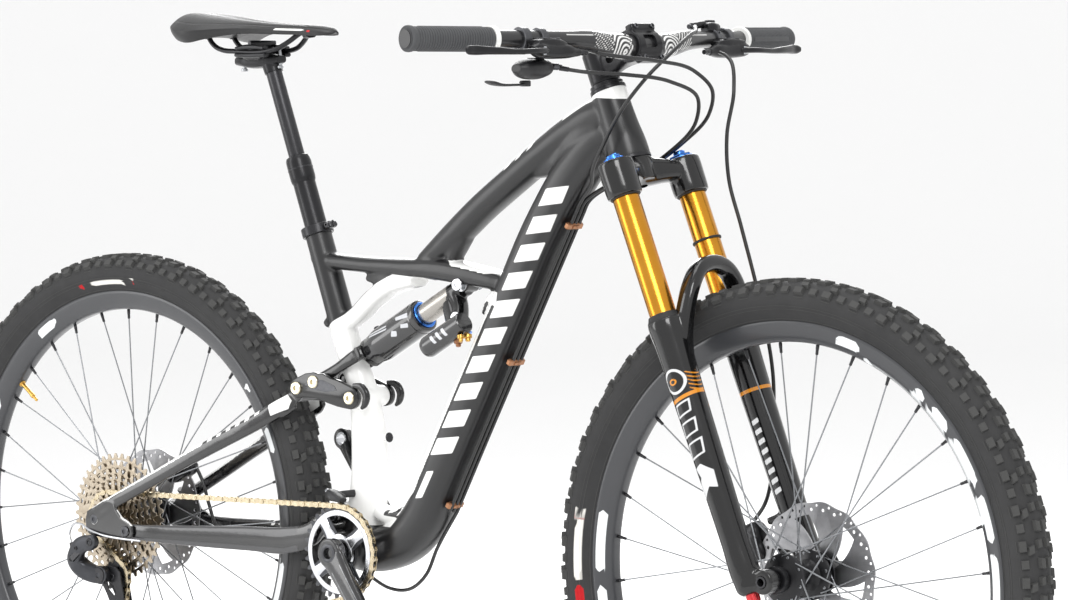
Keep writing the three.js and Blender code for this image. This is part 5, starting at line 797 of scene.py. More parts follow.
# shifter on the right
sc = barAt(-172); sd_ = sp(-1); kk = lambda dx, y, dz: np.array([sc[0] + dx, y, sc[2] + dz])
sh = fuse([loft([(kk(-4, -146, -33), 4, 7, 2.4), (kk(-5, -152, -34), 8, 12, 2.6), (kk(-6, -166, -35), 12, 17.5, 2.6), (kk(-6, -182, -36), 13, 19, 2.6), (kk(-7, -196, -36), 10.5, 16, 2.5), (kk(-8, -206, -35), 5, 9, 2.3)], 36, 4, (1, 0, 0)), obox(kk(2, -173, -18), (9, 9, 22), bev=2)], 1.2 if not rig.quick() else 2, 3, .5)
add("shifter_shell", sh, M_PLASTIC, "steerer", "shifter_pod", "plastic", 45)
add("shifter_fittings", [ringc(sc - sd_ * 5, sc + sd_ * 5, 11.35, 14.4, 40, .8), bolt(kk(-6, -176, -24.5), (0, 0, 1), 9, 2.2), bolt(kk(12, -173, -15), (1, 0, 0), 2.6, 2.6, seg=16), rod(kk(2, -150, -33), kk(4, -141, -33.5), 4.2, 16, bev=.6), rod(kk(3.6, -142, -33.4), kk(5, -136, -33.8), 3.2, 16, bev=.5)], M_GREYAL, "steerer", None, "black_alu", 35)
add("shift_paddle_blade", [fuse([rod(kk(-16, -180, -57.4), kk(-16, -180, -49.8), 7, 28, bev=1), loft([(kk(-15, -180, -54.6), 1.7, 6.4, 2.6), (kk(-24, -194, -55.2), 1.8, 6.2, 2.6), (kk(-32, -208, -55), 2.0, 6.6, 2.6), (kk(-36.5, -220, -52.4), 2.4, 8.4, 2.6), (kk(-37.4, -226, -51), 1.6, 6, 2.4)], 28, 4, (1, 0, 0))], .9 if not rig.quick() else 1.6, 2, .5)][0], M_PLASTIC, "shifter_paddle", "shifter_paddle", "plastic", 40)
rc = barAt(168); rd = sp(1); rr_ = lambda dx, y, dz: np.array([rc[0] + dx, y, rc[2] + dz])
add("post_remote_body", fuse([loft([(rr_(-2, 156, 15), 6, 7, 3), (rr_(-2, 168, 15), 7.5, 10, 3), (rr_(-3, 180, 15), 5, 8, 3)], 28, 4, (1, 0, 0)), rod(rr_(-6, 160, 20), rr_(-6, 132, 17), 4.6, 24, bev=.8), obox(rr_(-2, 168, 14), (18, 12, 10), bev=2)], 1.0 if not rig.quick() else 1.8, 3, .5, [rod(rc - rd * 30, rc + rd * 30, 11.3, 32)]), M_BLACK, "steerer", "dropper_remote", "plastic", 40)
add("post_remote_clamp", [ringc(rc - rd * 6, rc + rd * 6, 11.35, 14.3, 40, .8), bolt(rr_(10, 168, 9), (1, 0, 0), 2.6, 2.4, seg=16), rod(rr_(-6, 133, 17.2), rr_(-5, 127, 16.6), 3.2, 16, bev=.5)], M_GREYAL, "steerer", None, "black_alu", 35)
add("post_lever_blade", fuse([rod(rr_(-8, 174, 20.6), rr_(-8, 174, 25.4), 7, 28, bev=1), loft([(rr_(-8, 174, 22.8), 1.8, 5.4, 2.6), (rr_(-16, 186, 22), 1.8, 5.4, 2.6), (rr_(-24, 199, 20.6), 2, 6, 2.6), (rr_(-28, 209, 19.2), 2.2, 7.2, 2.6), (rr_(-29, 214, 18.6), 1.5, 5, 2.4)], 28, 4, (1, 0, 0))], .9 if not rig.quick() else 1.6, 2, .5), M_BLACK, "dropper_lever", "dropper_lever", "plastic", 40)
# hoses and housings
top = lambda y: DT(822, 35, y) + DTDIR * .5
lowp = lambda y: DT(428, 37, y) - DTDIR * .5
loops = {
 "rear_brake_hose_loop": [(947, -121, 1008), (955, -108, 1005.5), (962, -96, 1003.5), (975, -40, 998), (986, 20, 985), (990, 50, 962), (972, 66, 930), (930, 62, 892), (880, 42, 856), (848, 22, 840), top(8) + DTDIR * 14, top(8)],
 "shift_housing_loop": [(901, -140, 990), (910, -130, 987.5), (922, -118, 985), (952, -70, 981), (972, -10, 972), (978, 36, 952), (962, 52, 920), (920, 46, 880), (876, 30, 852), (846, 12, 838), top(0) + DTDIR * 14, top(0)],
 "dropper_housing_loop": [(902, 127, 1040.5), (925, 100, 1036), (955, 50, 1030), (968, 0, 1010), (956, -34, 980), (925, -46, 940), (890, -42, 895), (862, -30, 862), (846, -14, 842), top(-8) + DTDIR * 14, top(-8)],
 "front_brake_hose": [(947, 121, 1008), (960, 115, 1005), (972, 110, 999), (992, 92, 960), (984, 88, 905), (985, 90, 850), (1003, 92, 790), (1030, 94, 700), (1052, 94, 600), (1052, 92, 520), (1058, 80, 468), (1064, 58, 442), (fcA[0] - 8, 45, fcA[2] + 26)]}
BEND = {"rear_brake_hose_loop": ("frame", "steerer", (.262, 0, .84), (.388, 0, .983)), "shift_housing_loop": ("frame", "steerer", (.262, 0, .84), (.36, 0, .951)), "dropper_housing_loop": ("frame", "steerer", (.262, 0, .84), (.385, 0, .98)),
        "front_brake_hose": ("steerer", "lowers", (.39, 0, .955), (.477, 0, .50))}
for nm, pts in loops.items(): add(nm.replace("_loop", "") + "_line", [tube(pts, 2.45, 14, 40 if nm != "front_brake_hose" else 24)], M_HOSE, "steerer", nm, "hose", 70, bend=BEND[nm])
add("hose_boots", [rod(lp + (np.array([0, 0, 0])), lq, 3.4, 14, 3.0, .5) for lp, lq in ((np.array([902, 127, 1040.5]), np.array([912, 116, 1038.4])), (np.array([901, -140, 990]), np.array([909, -131, 987.8])))], M_BLACK, "steerer", None, "black_alu", 35)
# ------------------------------------------------------------------ rear triangle
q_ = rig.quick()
cs = []
for s in (-1, 1):
    cs.append(loft([(MP[0], s * 34, MP[1], 12, 4.4, 3), (398, s * 35.8, 388, 13, 4.8, 3), (377, s * 37.5, 369, 16, 5.5, 3), (330, s * 39.4, 357, 18, 6, 3), (265, s * 44.5, 355.4, 16.6, 6.8, 3), (200, s * 52, 354, 15, 7, 3), (120, s * 64, 353, 12.4, 6, 3), (84, s * 71.6, 353.5, 11, 3.6, 3), (HP[0], s * 73.2, HP[1], 11, 1.7, 3)], 28, 5))
    cs += [yrod(MP[0], MP[1], s * 24.9, s * 40, 15, 32, 1), yrod(HP[0], HP[1], s * 71.5, s * 74.8, 11.6, 32, .6), yrod(HP[0], HP[1], s * 72, s * 81.4, 5.9, 24, .4)]
cs += [yrod(MP[0], MP[1], -40, 40, 6, 24), loft([(383, -41, 376, 13, 5.6, 3.4), (382, 0, 376, 12, 5.4, 3.4), (383, 41, 376, 13, 5.6, 3.4)], 28, 4, (1, 0, 0))]
csm = fuse(cs, 1.6 if not q_ else 2.6, 4, .5, [])
def cs_white(p, n):
    far = np.where(p[:, 1] > 0, -3.0, 3.0); a = inter(np.abs(((p[:, 0] - p[:, 2] * .6) % 15.0) - 7.5) - 3.6, np.abs(p[:, 0] - 268) - 52, far, np.where(n[:, 2] > .2, -3.0, 3.0))
    return union(a, inter(sd_poly(xz(p), [(318, 376), (352, 378), (352, 384), (318, 382)]), far))
def cs_guard(p, n):
    near = np.where(p[:, 1] < 0, -3.0, 3.0); zc = 354 + np.maximum(0, p[:, 0] - 330) * .25
    d = inter(7.6 - np.abs(p[:, 2] - zc), np.abs(p[:, 0] - 205) - 150, near); return d
M_STAY = painted("m_stay", srgb("0e0e0f"), srgb("161617"), .24, .8, [("w", WHITE), ("k", srgb("3a3a3c"))], .25, .08, .5)
add("chainstay_shell", csm, M_STAY, "chainstay", "chainstay", "carbon_frame", 45, attrs={"w": cs_white, "k": cs_guard})
add("chainstay_bolts", [bolt((MP[0], s * 39.6, MP[1]), (0, s, 0), 9.5, 1.6, 4) for s in (-1, 1)] + [bolt((HP[0], s * 81.2, HP[1]), (0, s, 0), 7.6, 1.4, 3.4) for s in (-1, 1)], M_GREYAL, "chainstay", None, "black_alu", 30)
ss = []
for s in (-1, 1):
    ss.append(loft([(-4, s * 77.6, 368, 9, 2.2, 3), (8, s * 77.5, 378, 10, 2.4, 3), (34, s * 76.4, 392, 9.6, 3.2, 3), (60, s * 74, 405, 9.4, 4.2, 3), (110, s * 68.4, 430, 9.6, 5, 3), (160, s * 62, 455.5, 10, 5.6, 3), (225, s * 52.5, 487, 10.8, 6.2, 3), (285, s * 43.5, 516, 11.4, 6.4, 3), (316, s * 36, 534, 12, 5.8, 3), (332, s * 26.5, 547, 10.4, 3.2, 3), (348, s * 25.2, 561, 10, 3.4, 3)], 28, 5))
    ss.append(plate([(-17, 352), (-12, 346), (-2, 343.5), (30, 342), (62, 341), (73, 345), (76.5, 352), (75, 362), (66, 368.5), (54, 373), (44, 384), (38, 394), (22, 396), (6, 388), (-14, 378), (-18, 366)], s * 75.6, s * 79.9, [], .8))
    ss += [yrod(0, 367, s * 71.4, s * 80, 13.6, 32, .8), yrod(SP[0], SP[1], s * 21.9, s * 28.7, 12.2, 32, .8)]
ss += [loft([(338, -29, 550, 8.6, 6.4, 3), (338, 0, 551, 8, 6, 3), (338, 29, 550, 8.6, 6.4, 3)], 28, 4, (1, 0, 0)), loft([(28, 76, 388, 5, 6, 3), (30, 66, 394, 5, 6, 3), (32, 57, 400, 4.6, 5.6, 3)], 24, 3, (1, 0, 0))]
ss += [loft([(300, s * 39, 520, 4, 3.6, 3), (322, s * 34, 531, 9, 4.4, 3), (338, s * 27, 540, 6, 3.2, 3)], 24, 3) for s in (-1, 1)]
sc_ = [yrod(SP[0], SP[1], s * 19, s * 31, 8.1, 28) for s in (-1, 1)] + [yrod(HP[0], HP[1], s * 70, s * 90, 6.4, 24) for s in (-1, 1)] + [yrod(0, 367, -90, 90, 6.8, 24)]
ssm = fuse(ss, 1.5 if not q_ else 2.6, 4, .5, sc_)
def ss_white(p, n):
    q = xz(p); lz = 455.5 + (p[:, 0] - 160) * .485; up = np.where(n @ np.array([-.43, 0, .9]) > .25, -3.0, 3.0)
    t = inter(up, np.abs(p[:, 0] - 95) - 100); st = inter(up, np.abs(p[:, 0] - 242) - 50, np.abs(((p[:, 0] + p[:, 2] * .1) % 16.5) - 8.2) - 4.0)
    blk = inter(sd_poly(q, [(303, 538), (326, 553), (334, 545), (332, 534), (309, 524)]), np.where(np.abs(n[:, 1]) > .4, -3.0, 3.0))
    return union(t, st, blk)
add("seatstay_shell", ssm, M_STAY, "seatstay", "seatstay", "carbon_frame", 45, attrs={"w": ss_white, "k": lambda p, n: np.full(len(p), 9.0)})
add("axle_rear", [lathe([(4, -80.4), (6.4, -80.4), (6.4, 80.6), (4, 80.6), (4, -80.4)], (0, 0, 367), Y, 32), lathe([(4, 80.3), (9.6, 80.3), (10, 81), (9.6, 83), (8, 84.2), (4, 84.2), (4, 80.3)], (0, 0, 367), Y, 40)], M_BLACK, "seatstay", "rear_axle", "black_alu", 30)
caliper("caliper_rear", (48, 428), (.9, 0, .43), "seatstay", "rear_caliper", 39.4, None)
add("hanger_bolt", [bolt((0, -79.6, 367), (0, -1, 0), 7, 1.2, 3.2)], M_GREYAL, "seatstay", None, "black_alu", 30)
# rocker and its bolts
rk = []
out = arc(RP[0], RP[1], 15, -95, 75, 12) + [(434, 574), (424, 577), (412, 579), (398, 584.5)] + arc(YP[0], YP[1], 13, 62, 112, 5) + [(366, 583.5)] + arc(SP[0], SP[1], 13, 102, 268, 12) + [(362, 551.5), (385, 551), (408, 545), (424, 541.5), (436, 540)]
for s in (-1, 1):
    rk.append(plate(out, s * 29.8, s * 37.3, [], 1.6, 2))
rkm = merge(*rk, yrod(RP[0], RP[1], -38, 38, 6, 24), *[yrod(a, b, s * 22, s * 31, 4.4, 20) for a, b in (YP, SP) for s in (-1, 1)])
add("rocker_plates", rkm, M_GLOSS, "rocker", "rocker_link", "black_alu", 40)
add("rocker_inlay", [plate([(372, 574.5), (398, 576), (420, 569), (424, 563), (404, 560), (380, 563), (366, 568)], s * 37.2, s * 37.9, [], .25) for s in (-1, 1)], M_GREYAL, "rocker", None, "black_alu", 30)
add("rocker_bolts", [bolt((a, s * 37.2, b), (0, s, 0), 8.6, 3.4, 3.6, 36) for a, b in (RP, YP, SP) for s in (-1, 1)], M_GOLDBOLT, "rocker", None, None, 30)
# the curl of the rocker round the front of its pivot
add("rocker_hook", [loft([(452, s * 33.5, 571, 3, 3.6, 3), (466, s * 33.5, 569, 5, 3.6, 3), (474, s * 33.5, 558, 5.4, 3.6, 3), (471, s * 33.5, 546, 4, 3.4, 3), (466, s * 33.5, 541, 2, 2.6, 3)], 20, 4) for s in (-1, 1)], M_GLOSS, "rocker", None, "black_alu", 45)
# ------------------------------------------------------------------ shock
yk = [rod(SH(188), SH(200), 20, 40, bev=1.5), loft([(SH(197, 0, -30), 9, 4.6, 3), (SH(196, 0, 0), 10, 5, 3), (SH(197, 0, 30), 9, 4.6, 3)], 28, 4, SDIR)]
for s in (-1, 1): yk += [loft([(SH(190, 0, s * 23.5), 9.5, 3.4, 3), (SH(212, 0, s * 25.4), 8.6, 3.5, 3), (SH(240, 0, s * 25.3), 7.4, 3.5, 3), (SH(262, 0, s * 25.3), 8.6, 3.5, 3), (SH(SL, 0, s * 25.3), 10, 3.5, 3)], 24, 4), yrod(YP[0], YP[1], s * 21.9, s * 28.7, 11.8, 32, .8)]
add("yoke_shell", fuse(yk, 1.2 if not q_ else 2.2, 3, .5, [yrod(YP[0], YP[1], s * 19, s * 31, 8.1, 28) for s in (-1, 1)]), M_GLOSS, "shock_rear", "shock_yoke", "black_alu", 45)
def can_white(p, n):
    d = (p[:, [0, 2]] - SE) @ SA; v = (p[:, [0, 2]] - SE) @ np.array([SA[1], -SA[0]]); near = np.where(p[:, 1] < -4, -3.0, 3.0); q = np.stack([d, v], 1)
    a = union(*[sd_poly(q, k) for k in ([(98, 3), (120, 9), (121, 14), (97, 9)], [(128, -10), (137, -6), (132, 0), (124, -4)], [(140, 6), (176, 12), (176, 13.6), (139, 8)], [(140, 10), (176, 15), (176, 16.4), (139, 12)], [(104, -9), (116, -4), (113, 0), (101, -4)])])
    return inter(a, near)
M_CAN = painted("m_shock_can", srgb("0d0d0e"), srgb("17171a"), .25, .9, [("w", srgb("c9cbcf"))], .0, .05)
CAN = [(15.0, 88.4), (20.8, 88.6), (22.4, 89.6), (22.8, 91.5), (22.8, 96), (22.2, 96.6), (22.2, 98), (23.0, 98.8), (23.0, 172), (22.2, 178), (21.0, 184), (20.4, 189.0), (14.9, 189.0), (14.9, 186), (15.0, 88.4)]
ring_rows = [(r, h) for r, h in CAN[:-1]]; fine = []
for (r0, h0), (r1, h1) in zip(ring_rows, ring_rows[1:]):
    k = max(1, int(abs(h1 - h0) / 2.0)); fine += [(r0 + (r1 - r0) * i / k, h0 + (h1 - h0) * i / k) for i in range(k)]
fine.append(ring_rows[-1]); fine.append(fine[0])
add("shock_can", lathe(fine, SH(0), SDIR, 120), M_CAN, "shock_rear", "shock_air_can", "black_alu", 25, attrs={"w": can_white})
add("shock_can_trim", [ringc(SH(86.4), SH(88.3), 14.9, 18.4, 64, .5)], M_BLUE, "shock_rear", None, "blue_anod", 30)
add("shock_valve", [rod(SH(150, 0, 0) + np.array([0, 22.5, 0]), SH(150) + np.array([0, 28, 0]), 5, 24, bev=.6), rod(SH(172, -20, 0), SH(172, -25.5, 0), 4.4, 20, bev=.6)], M_BLACK, "shock_rear", None, "black_alu", 35)
add("shock_body", [lathe([(8, 28), (13.2, 28), (14, 29), (14, 125), (13.4, 126), (8, 126), (8, 28)], SH(0), SDIR, 72)], M_SHAFT, "shock_front", "shock_shaft", "silver_alu", 30)
hd = [yrod(SE[0], SE[1], -13.2, 13.2, 10.6, 40, .8), rod(SH(3), SH(37), 13.6, 44, bev=1), loft([(SH(26, 2, -2), 11, 12, 3), (SH(24, 16, -6), 12.5, 12, 3), (SH(22, 30, -13), 12.5, 11, 3), (SH(20, 44, -24), 12, 11, 3), (SH(18, 52, -31), 11, 11, 3)], 32, 4, Y),
      loft([(SH(34, 10, -12), 8, 7, 3), (SH(30, 30, -20), 9, 8, 3), (SH(25, 48, -31), 8, 8, 3)], 28, 3)]
hm = fuse(hd, 1.2 if not q_ else 2.2, 3, .5, [yrod(SE[0], SE[1], -20, 20, 5.2, 24), rod(SH(36.0), SH(80), 24.5, 48)])
add("shock_head", hm, M_GLOSS, "shock_front", None, "black_alu", 45)
def res_white(p, n):
    d = (p[:, [0, 2]] - SE) @ SA; v = (p[:, [0, 2]] - SE) @ np.array([SA[1], -SA[0]]) + 52; near = np.where(p[:, 1] < -38, -3.0, 3.0); q = np.stack([d, v], 1)
    a = union(*[sd_poly(q, k) for k in ([(26, -6), (31, -6), (35, 6), (30, 6)], [(37, -6), (42, -6), (46, 6), (41, 6)], [(48, -6), (53, -6), (57, 6), (52, 6)])])
    return inter(a, near)
RP_ = [(8, 3), (13.2, 3), (14.4, 4.2), (14.5, 6)] + [(14.5, 8 + 2 * i) for i in range(33)] + [(14.4, 75), (12.6, 79), (9, 82), (3, 82.6)]
add("shock_reservoir", [lathe(RP_, SH(0, 52, -33), SDIR, 96)], M_CAN, "shock_front", None, "black_alu", 25, attrs={"w": res_white})
pv = SH(0, 0, 0)
add("shock_eye_bolt", [yrod(SE[0], SE[1], -21.4, 21.4, 4.9, 24)] + [ringc((SE[0], s * 13.4, SE[1]), (SE[0], s * 14.6, SE[1]), 5, 9.4, 32, .3) for s in (-1, 1)], M_STEEL, "shock_front", None, "steel", 30)
add("frame_shock_bolt", [bolt((SE[0], s * 21.6, SE[1]), (0, s, 0), 8.4, 2.2, 3.6, 32) for s in (-1, 1)], M_SILVER, "frame", None, "silver_alu", 30)
a1, a2 = np.array([660.6, -14.5, 675.5]), np.array([649, -24, 682]) 
kb = lambda c, m_, r: add(m_[0], [lathe([(r - .8, 0), (r, .6), (r, 4.4), (r - .8, 5.2), (r * .5, 5.2)], c, (.25, -.2, -.95), 32), lathe([(r * .62, 5), (r * .62, 8.6), (r * .4, 9.6)], c, (.25, -.2, -.95), 24)], m_[1], "shock_front", None, None, 30)
kb(SH(12, 66, -26), ("shock_knob_a", M_BRASS), 5.6); kb(SH(27, 66, -30), ("shock_knob_b", M_COPPER), 5.6); kb(SH(12, 66, -40), ("shock_knob_c", M_BRASS), 4.6)
add("shock_knob_rings", [ringc(SH(12, 64.4, -26), SH(12, 66, -26), 3, 6.6, 28, .3), ringc(SH(27, 64.4, -30), SH(27, 66, -30), 3, 6.6, 28, .3)], M_BLUE, "shock_front", None, "blue_anod", 30)
add("shock_ring_bolt", [bolt(SH(12, 42, -36.5), (0, -1, 0), 6.2, 2, 3.2, 28), ringc(SH(12, 42, -35.6), SH(12, 42, -37), 6.6, 8.4, 32, .3)], M_SILVER, "shock_front", None, "silver_alu", 30)

# ------------------------------------------------------------------ drivetrain
ca = math.radians(-51); CE = (BB[0] + 175 * math.cos(ca), BB[1] + 175 * math.sin(ca)); CL = (2 * BB[0] - CE[0], 2 * BB[1] - CE[1])
def arm(e, s):
    B = np.array(BB, float); E = np.array(e, float); P = lambda t: B + (E - B) * t
    return [yrod(B[0], B[1], s * 58.4, s * 73, 20, 48, 1.6), yrod(E[0], E[1], s * 70.6, s * 83.8, 14.8, 40, 1.4),
            loft([(P(-.06)[0], s * 65.5, P(-.06)[1], 15, 6, 3), (P(0)[0], s * 66, P(0)[1], 18.5, 7, 3), (P(.14)[0], s * 68, P(.14)[1], 18, 7.4, 3), (P(.3)[0], s * 70.2, P(.3)[1], 15.8, 7.4, 2.9), (P(.6)[0], s * 73.6, P(.6)[1], 14.2, 7, 2.8), (P(.86)[0], s * 76.2, P(.86)[1], 14.2, 6.8, 2.8), (P(1.0)[0], s * 77.2, P(1.0)[1], 14.4, 6.6, 2.6)], 32, 5)]
M_CRANK = painted("m_crank", srgb("0f0f10"), srgb("17171a"), .26, .8, [("w", srgb("a9abae"))], .6, .06)
def cr_line(e):
    B = np.array(BB, float); D = unit(np.array(e, float) - B); N = np.array([-D[1], D[0]])
    def f(p, n):
        d = (xz(p) - B); a, b = d @ D, d @ N; side = np.where(np.abs(n[:, 1]) > .5, -3.0, 3.0); w = 12.4 - a * .018
        return inter(np.abs(np.abs(b) - w * .74) - .55, np.abs(a - 80) - 56, side)
    return f
add("crank_arm_right", fuse(arm(CE, -1), 1.3 if not q_ else 2.4, 4, .5, [yrod(CE[0], CE[1], -90, -60, 7.2, 32), yrod(BB[0], BB[1], -90, -69, 8.2, 28)]), M_CRANK, "crank", "crank_right", "carbon_frame", 45, attrs={"w": cr_line(CE)})
add("crank_arm_left", fuse(arm(CL, 1), 1.3 if not q_ else 2.4, 4, .5, [yrod(CL[0], CL[1], 60, 90, 7.2, 32), yrod(BB[0], BB[1], 69, 90, 8.2, 28)]), M_CRANK, "crank", "crank_left", "carbon_frame", 45, attrs={"w": cr_line(CL)})
add("crank_spindle", [lathe([(9, -58.6), (12.3, -58.6), (12.3, 58.4), (9, 58.4), (9, -58.6)], (BB[0], 0, BB[1]), Y, 40), lathe([(7.8, -71.4), (12.6, -71.8), (13, -73), (12.4, -74.4), (9.6, -74.8), (7.6, -74), (7.8, -71.4)], (BB[0], 0, BB[1]), Y, 40), lathe([(7.8, 71.4), (12.6, 71.8), (13, 73), (12.4, 74.4), (9.6, 74.8), (7.6, 74), (7.8, 71.4)], (BB[0], 0, BB[1]), Y, 40)], M_GREYAL, "crank", None, "black_alu", 30)
add("pedal_inserts", [ringc((e[0], s * 70.4, e[1]), (e[0], s * 84.0, e[1]), 7.0, 9.4, 32, .4) for e, s in ((CE, -1), (CL, 1))], M_SILVER, "crank", None, "silver_alu", 30)
def sprocket(x, z, T, ht=3.9, r_in=None, windows=0, skipw=1.0):
    pr = 12.7 / (2 * math.sin(math.pi / T)); pts = []
    for i in range(T):
        a = 2 * math.pi * i / T; st = 2 * math.pi / T
        for da, rr in ((-.5, pr - 3.6), (-.30, pr - 2.6), (-.17, pr + ht * .62), (-.08, pr + ht), (.08, pr + ht), (.17, pr + ht * .62), (.30, pr - 2.6)): pts.append((x + rr * math.cos(a + da * st), z + rr * math.sin(a + da * st)))
    return pts, pr
oc, pr30 = sprocket(BB[0], BB[1], 30, 3.2)
holes = [circ(BB[0], BB[1], 13.4, 32)]
for i in range(4):
    a0 = 90 * i + 35; pts = arc(BB[0], BB[1], 49.6, a0 + 12, a0 + 78, 12) + arc(BB[0], BB[1], 23, a0 + 62, a0 + 28, 5); holes.append(pts)
for i in range(8):
    a = math.radians(45 * i + 12.5); holes.append(circ(BB[0] + 53.2 * math.cos(a), BB[1] + 53.2 * math.sin(a), 1.7, 10))
M_RING = M_SILVER
add("ring_plate", [plate(oc, -51.1, -48.9, holes, .35)], M_GREYAL, "crank", None, "black_alu", 30)
add("ring_body", [ringc((BB[0], -52.2, BB[1]), (BB[0], -50.9, BB[1]), 49.0, 56.2, 96, .4), lathe([(13.2, -53.6), (22, -53.4), (24, -52.4), (24, -48.2), (22, -47.4), (13.2, -47.4), (13.2, -53.6)], (BB[0], 0, BB[1]), Y, 56)] +
    [loft([(BB[0] + 20 * math.cos(a), -51.4, BB[1] + 20 * math.sin(a), 8.6, 1.6, 4), (BB[0] + 36 * math.cos(a), -51.6, BB[1] + 36 * math.sin(a), 6, 1.4, 4), (BB[0] + 51 * math.cos(a), -51.6, BB[1] + 51 * math.sin(a), 7.4, 1.2, 4)], 20, 4) for a in np.radians(np.arange(4) * 90 + 35)], M_SILVER, "crank", "chainring", "silver_alu", 30)
# cassette: eleven toothed cogs on a tapering core
COGS = [(42, -30.8), (37, -34.0), (32, -37.2), (28, -40.4), (24, -43.6), (21, -46.8), (17, -50.0), (15, -53.6), (13, -57.2), (12, -60.8), (10, -64.2)]
cg = []; prv = None
for i, (T, y) in enumerate(COGS):
    o_, pr = sprocket(0, 367, T, 3.3); inner = 17.2 if T < 16 else max(17.4, 12.7 / (2 * math.sin(math.pi / COGS[min(i + 1, 10)][0])) - 9)
    hs = [circ(0, 367, inner, 32)]
    if T >= 28:
        k = 10 if T > 36 else 8
        for j in range(k):
            a = 360 / k; hs.append(arc(0, 367, pr - 6.5, j * a + 4, (j + 1) * a - 6, 5) + arc(0, 367, inner + 4.5, (j + 1) * a - 7, j * a + 6, 4))
        if pr - 6.5 - inner - 4.5 < 3: hs = hs[:1]
    pl = plate(o_, y - .85, y + .85, hs, .2); cg.append(turned(pl, (0, 0, 367), (0, 1, 0), i * .07))
    if i < 10: cg.append(ringc((0, y - .8, 367), (0, y - 2.6, 367), max(17.3, inner), max(19, inner + 4.2), 32, .2))
cas = add("cassette_cogs", cg, M_CASS, "cassette", "cassette", "cassette_metal", 30)
add("cassette_core", [lathe([(17.1, -65.4), (18.6, -65.6), (20.4, -65.4), (20.4, -62), (21, -58), (22.5, -48), (26, -44), (38, -37.6), (40, -35), (36, -33.4), (24, -36), (18, -40), (17.1, -44), (17.1, -65.4)], (0, 0, 367), Y, 40)], M_GREYAL, "cassette", None, "black_alu", 30)
# chain: separate links on the path round ring, sprocket and guide wheels
J1, J2, JR = (14, 286), (44, 204), 22.0
cp = arc(BB[0], BB[1], 61.4, 91, -75.3, 40) + arc(J2[0], J2[1], JR, -75.3, -190.2, 16) + arc(J1[0], J1[1], JR, -10.2, 57.2, 10) + arc(0, 367, 35.4, -122.8, -269, 24)
cp = np.array(cp + [cp[0]], float); seg = np.hypot(*np.diff(cp, axis=0).T); cum = np.concatenate([[0], np.cumsum(seg)]); N = int(round(cum[-1] / 12.7 / 2)) * 2
at_ = lambda t: np.array([np.interp(t % cum[-1], cum, cp[:, 0]), np.interp(t % cum[-1], cum, cp[:, 1])])
links, rollers = [], []
for i in range(N):
    a, b = at_(cum[-1] * i / N), at_(cum[-1] * (i + 1) / N); d = unit(b - a); ang = math.degrees(math.atan2(d[1], d[0])); L = np.linalg.norm(b - a)
    o = arc(a[0], a[1], 3.75, ang + 70, ang + 290, 7) + [tuple(a + d * L / 2 + np.array([d[1], -d[0]]) * 2.6)] + arc(b[0], b[1], 3.75, ang - 110, ang + 110, 7) + [tuple(a + d * L / 2 - np.array([d[1], -d[0]]) * 2.6)]
    O = np.array(o)
    for s in (-1, 1):
        y0, y1 = ((s * 1.9, s * 2.7) if i % 2 else (s * 2.8, s * 3.6))
        r0 = np.stack([O[:, 0], np.full(len(O), -50 + y0), O[:, 1]], 1); r1 = r0.copy(); r1[:, 1] = -50 + y1; links.append(skin([r0, r1]))
    rollers.append(yrod(a[0], a[1], -51.9, -48.1, 3.3, 10)); rollers.append(yrod(a[0], a[1], -54.0, -46.0, 1.6, 8))
add("chain_links", links + rollers, M_CHAIN, "chainstay", "chain", "chain_metal", 30, bend=("frame", "chainstay", ((432 - 581) / 1000, 0, .37), ((330 - 581) / 1000, 0, .36)))
# derailleur
g1 = lambda x, y, z: (x, y, z)
db = [yrod(2, 336, -91.6, -80.8, 10, 36, 1.2), loft([(2, -87, 346, 5, 4, 3), (2, -87, 336, 10, 5, 3), (-12, -86.6, 333, 11.5, 5.6, 3), (-22, -86, 328, 12.5, 6.4, 3), (-32, -82.5, 318, 12.5, 9, 3), (-37, -79, 308, 12, 11.6, 3), (-32, -73, 297, 13, 12, 3), (-18, -69, 290, 13, 9.6, 3), (-4, -67, 287, 12, 6, 3)], 32, 5),
      yrod(0, 288, -72, -60.4, 13, 40, 1.4)]
add("mech_body", fuse(db, 1.3 if not q_ else 2.2, 3, .5, []), M_GREYAL, "seatstay", "derailleur_body", "derailleur", 45)
add("mech_trim", [bolt((2, -91.4, 336), (0, -1, 0), 6, 1.6, 3), bolt((-24, -92.2, 326), (-.1, -1, 0), 3, 1.4, 1.6, 16), bolt((-37, -90.8, 309), (-.3, -.9, 0), 3, 1.4, 1.6, 16), obox((-27, -90.4, 316), (20, 3.2, 10), (.75, .1, .66), (0, -1, 0), 1.2), ringc((0, -73.6, 288), (0, -71.4, 288), 4, 11, 36, .5), rod((-46, -76, 318), (-52, -74, 330), 3.6, 16, 3.2, .6), obox((-42, -76, 322), (8, 7, 14), (.9, 0, .4), Y, 1.4)], M_BLACK, "seatstay", None, "black_alu", 35)
add("mech_cable", [tube([(-52, -74, 330), (-58, -72, 342), (-52, -72, 354), (-30, -76, 358), (-8, -81.5, 352), (20, -84.5, 347), (52, -84.0, 344.5), (90, -79, 343)], 1.6, 10, 10)], M_SILVER, "seatstay", None, "silver_alu", 60)
cgl = [(-12, 298), (2, 300.5), (20, 300), (29, 293), (31, 282), (38, 250), (56, 214), (60, 204), (55, 193), (44, 188.5), (33, 192), (28, 202), (22, 226), (2, 262), (-8, 276), (-14, 288)]
cw = [[(2, 283), (16, 274), (22, 262), (16, 260), (6, 268)], [(30, 232), (40, 228), (42, 222), (32, 222)]]
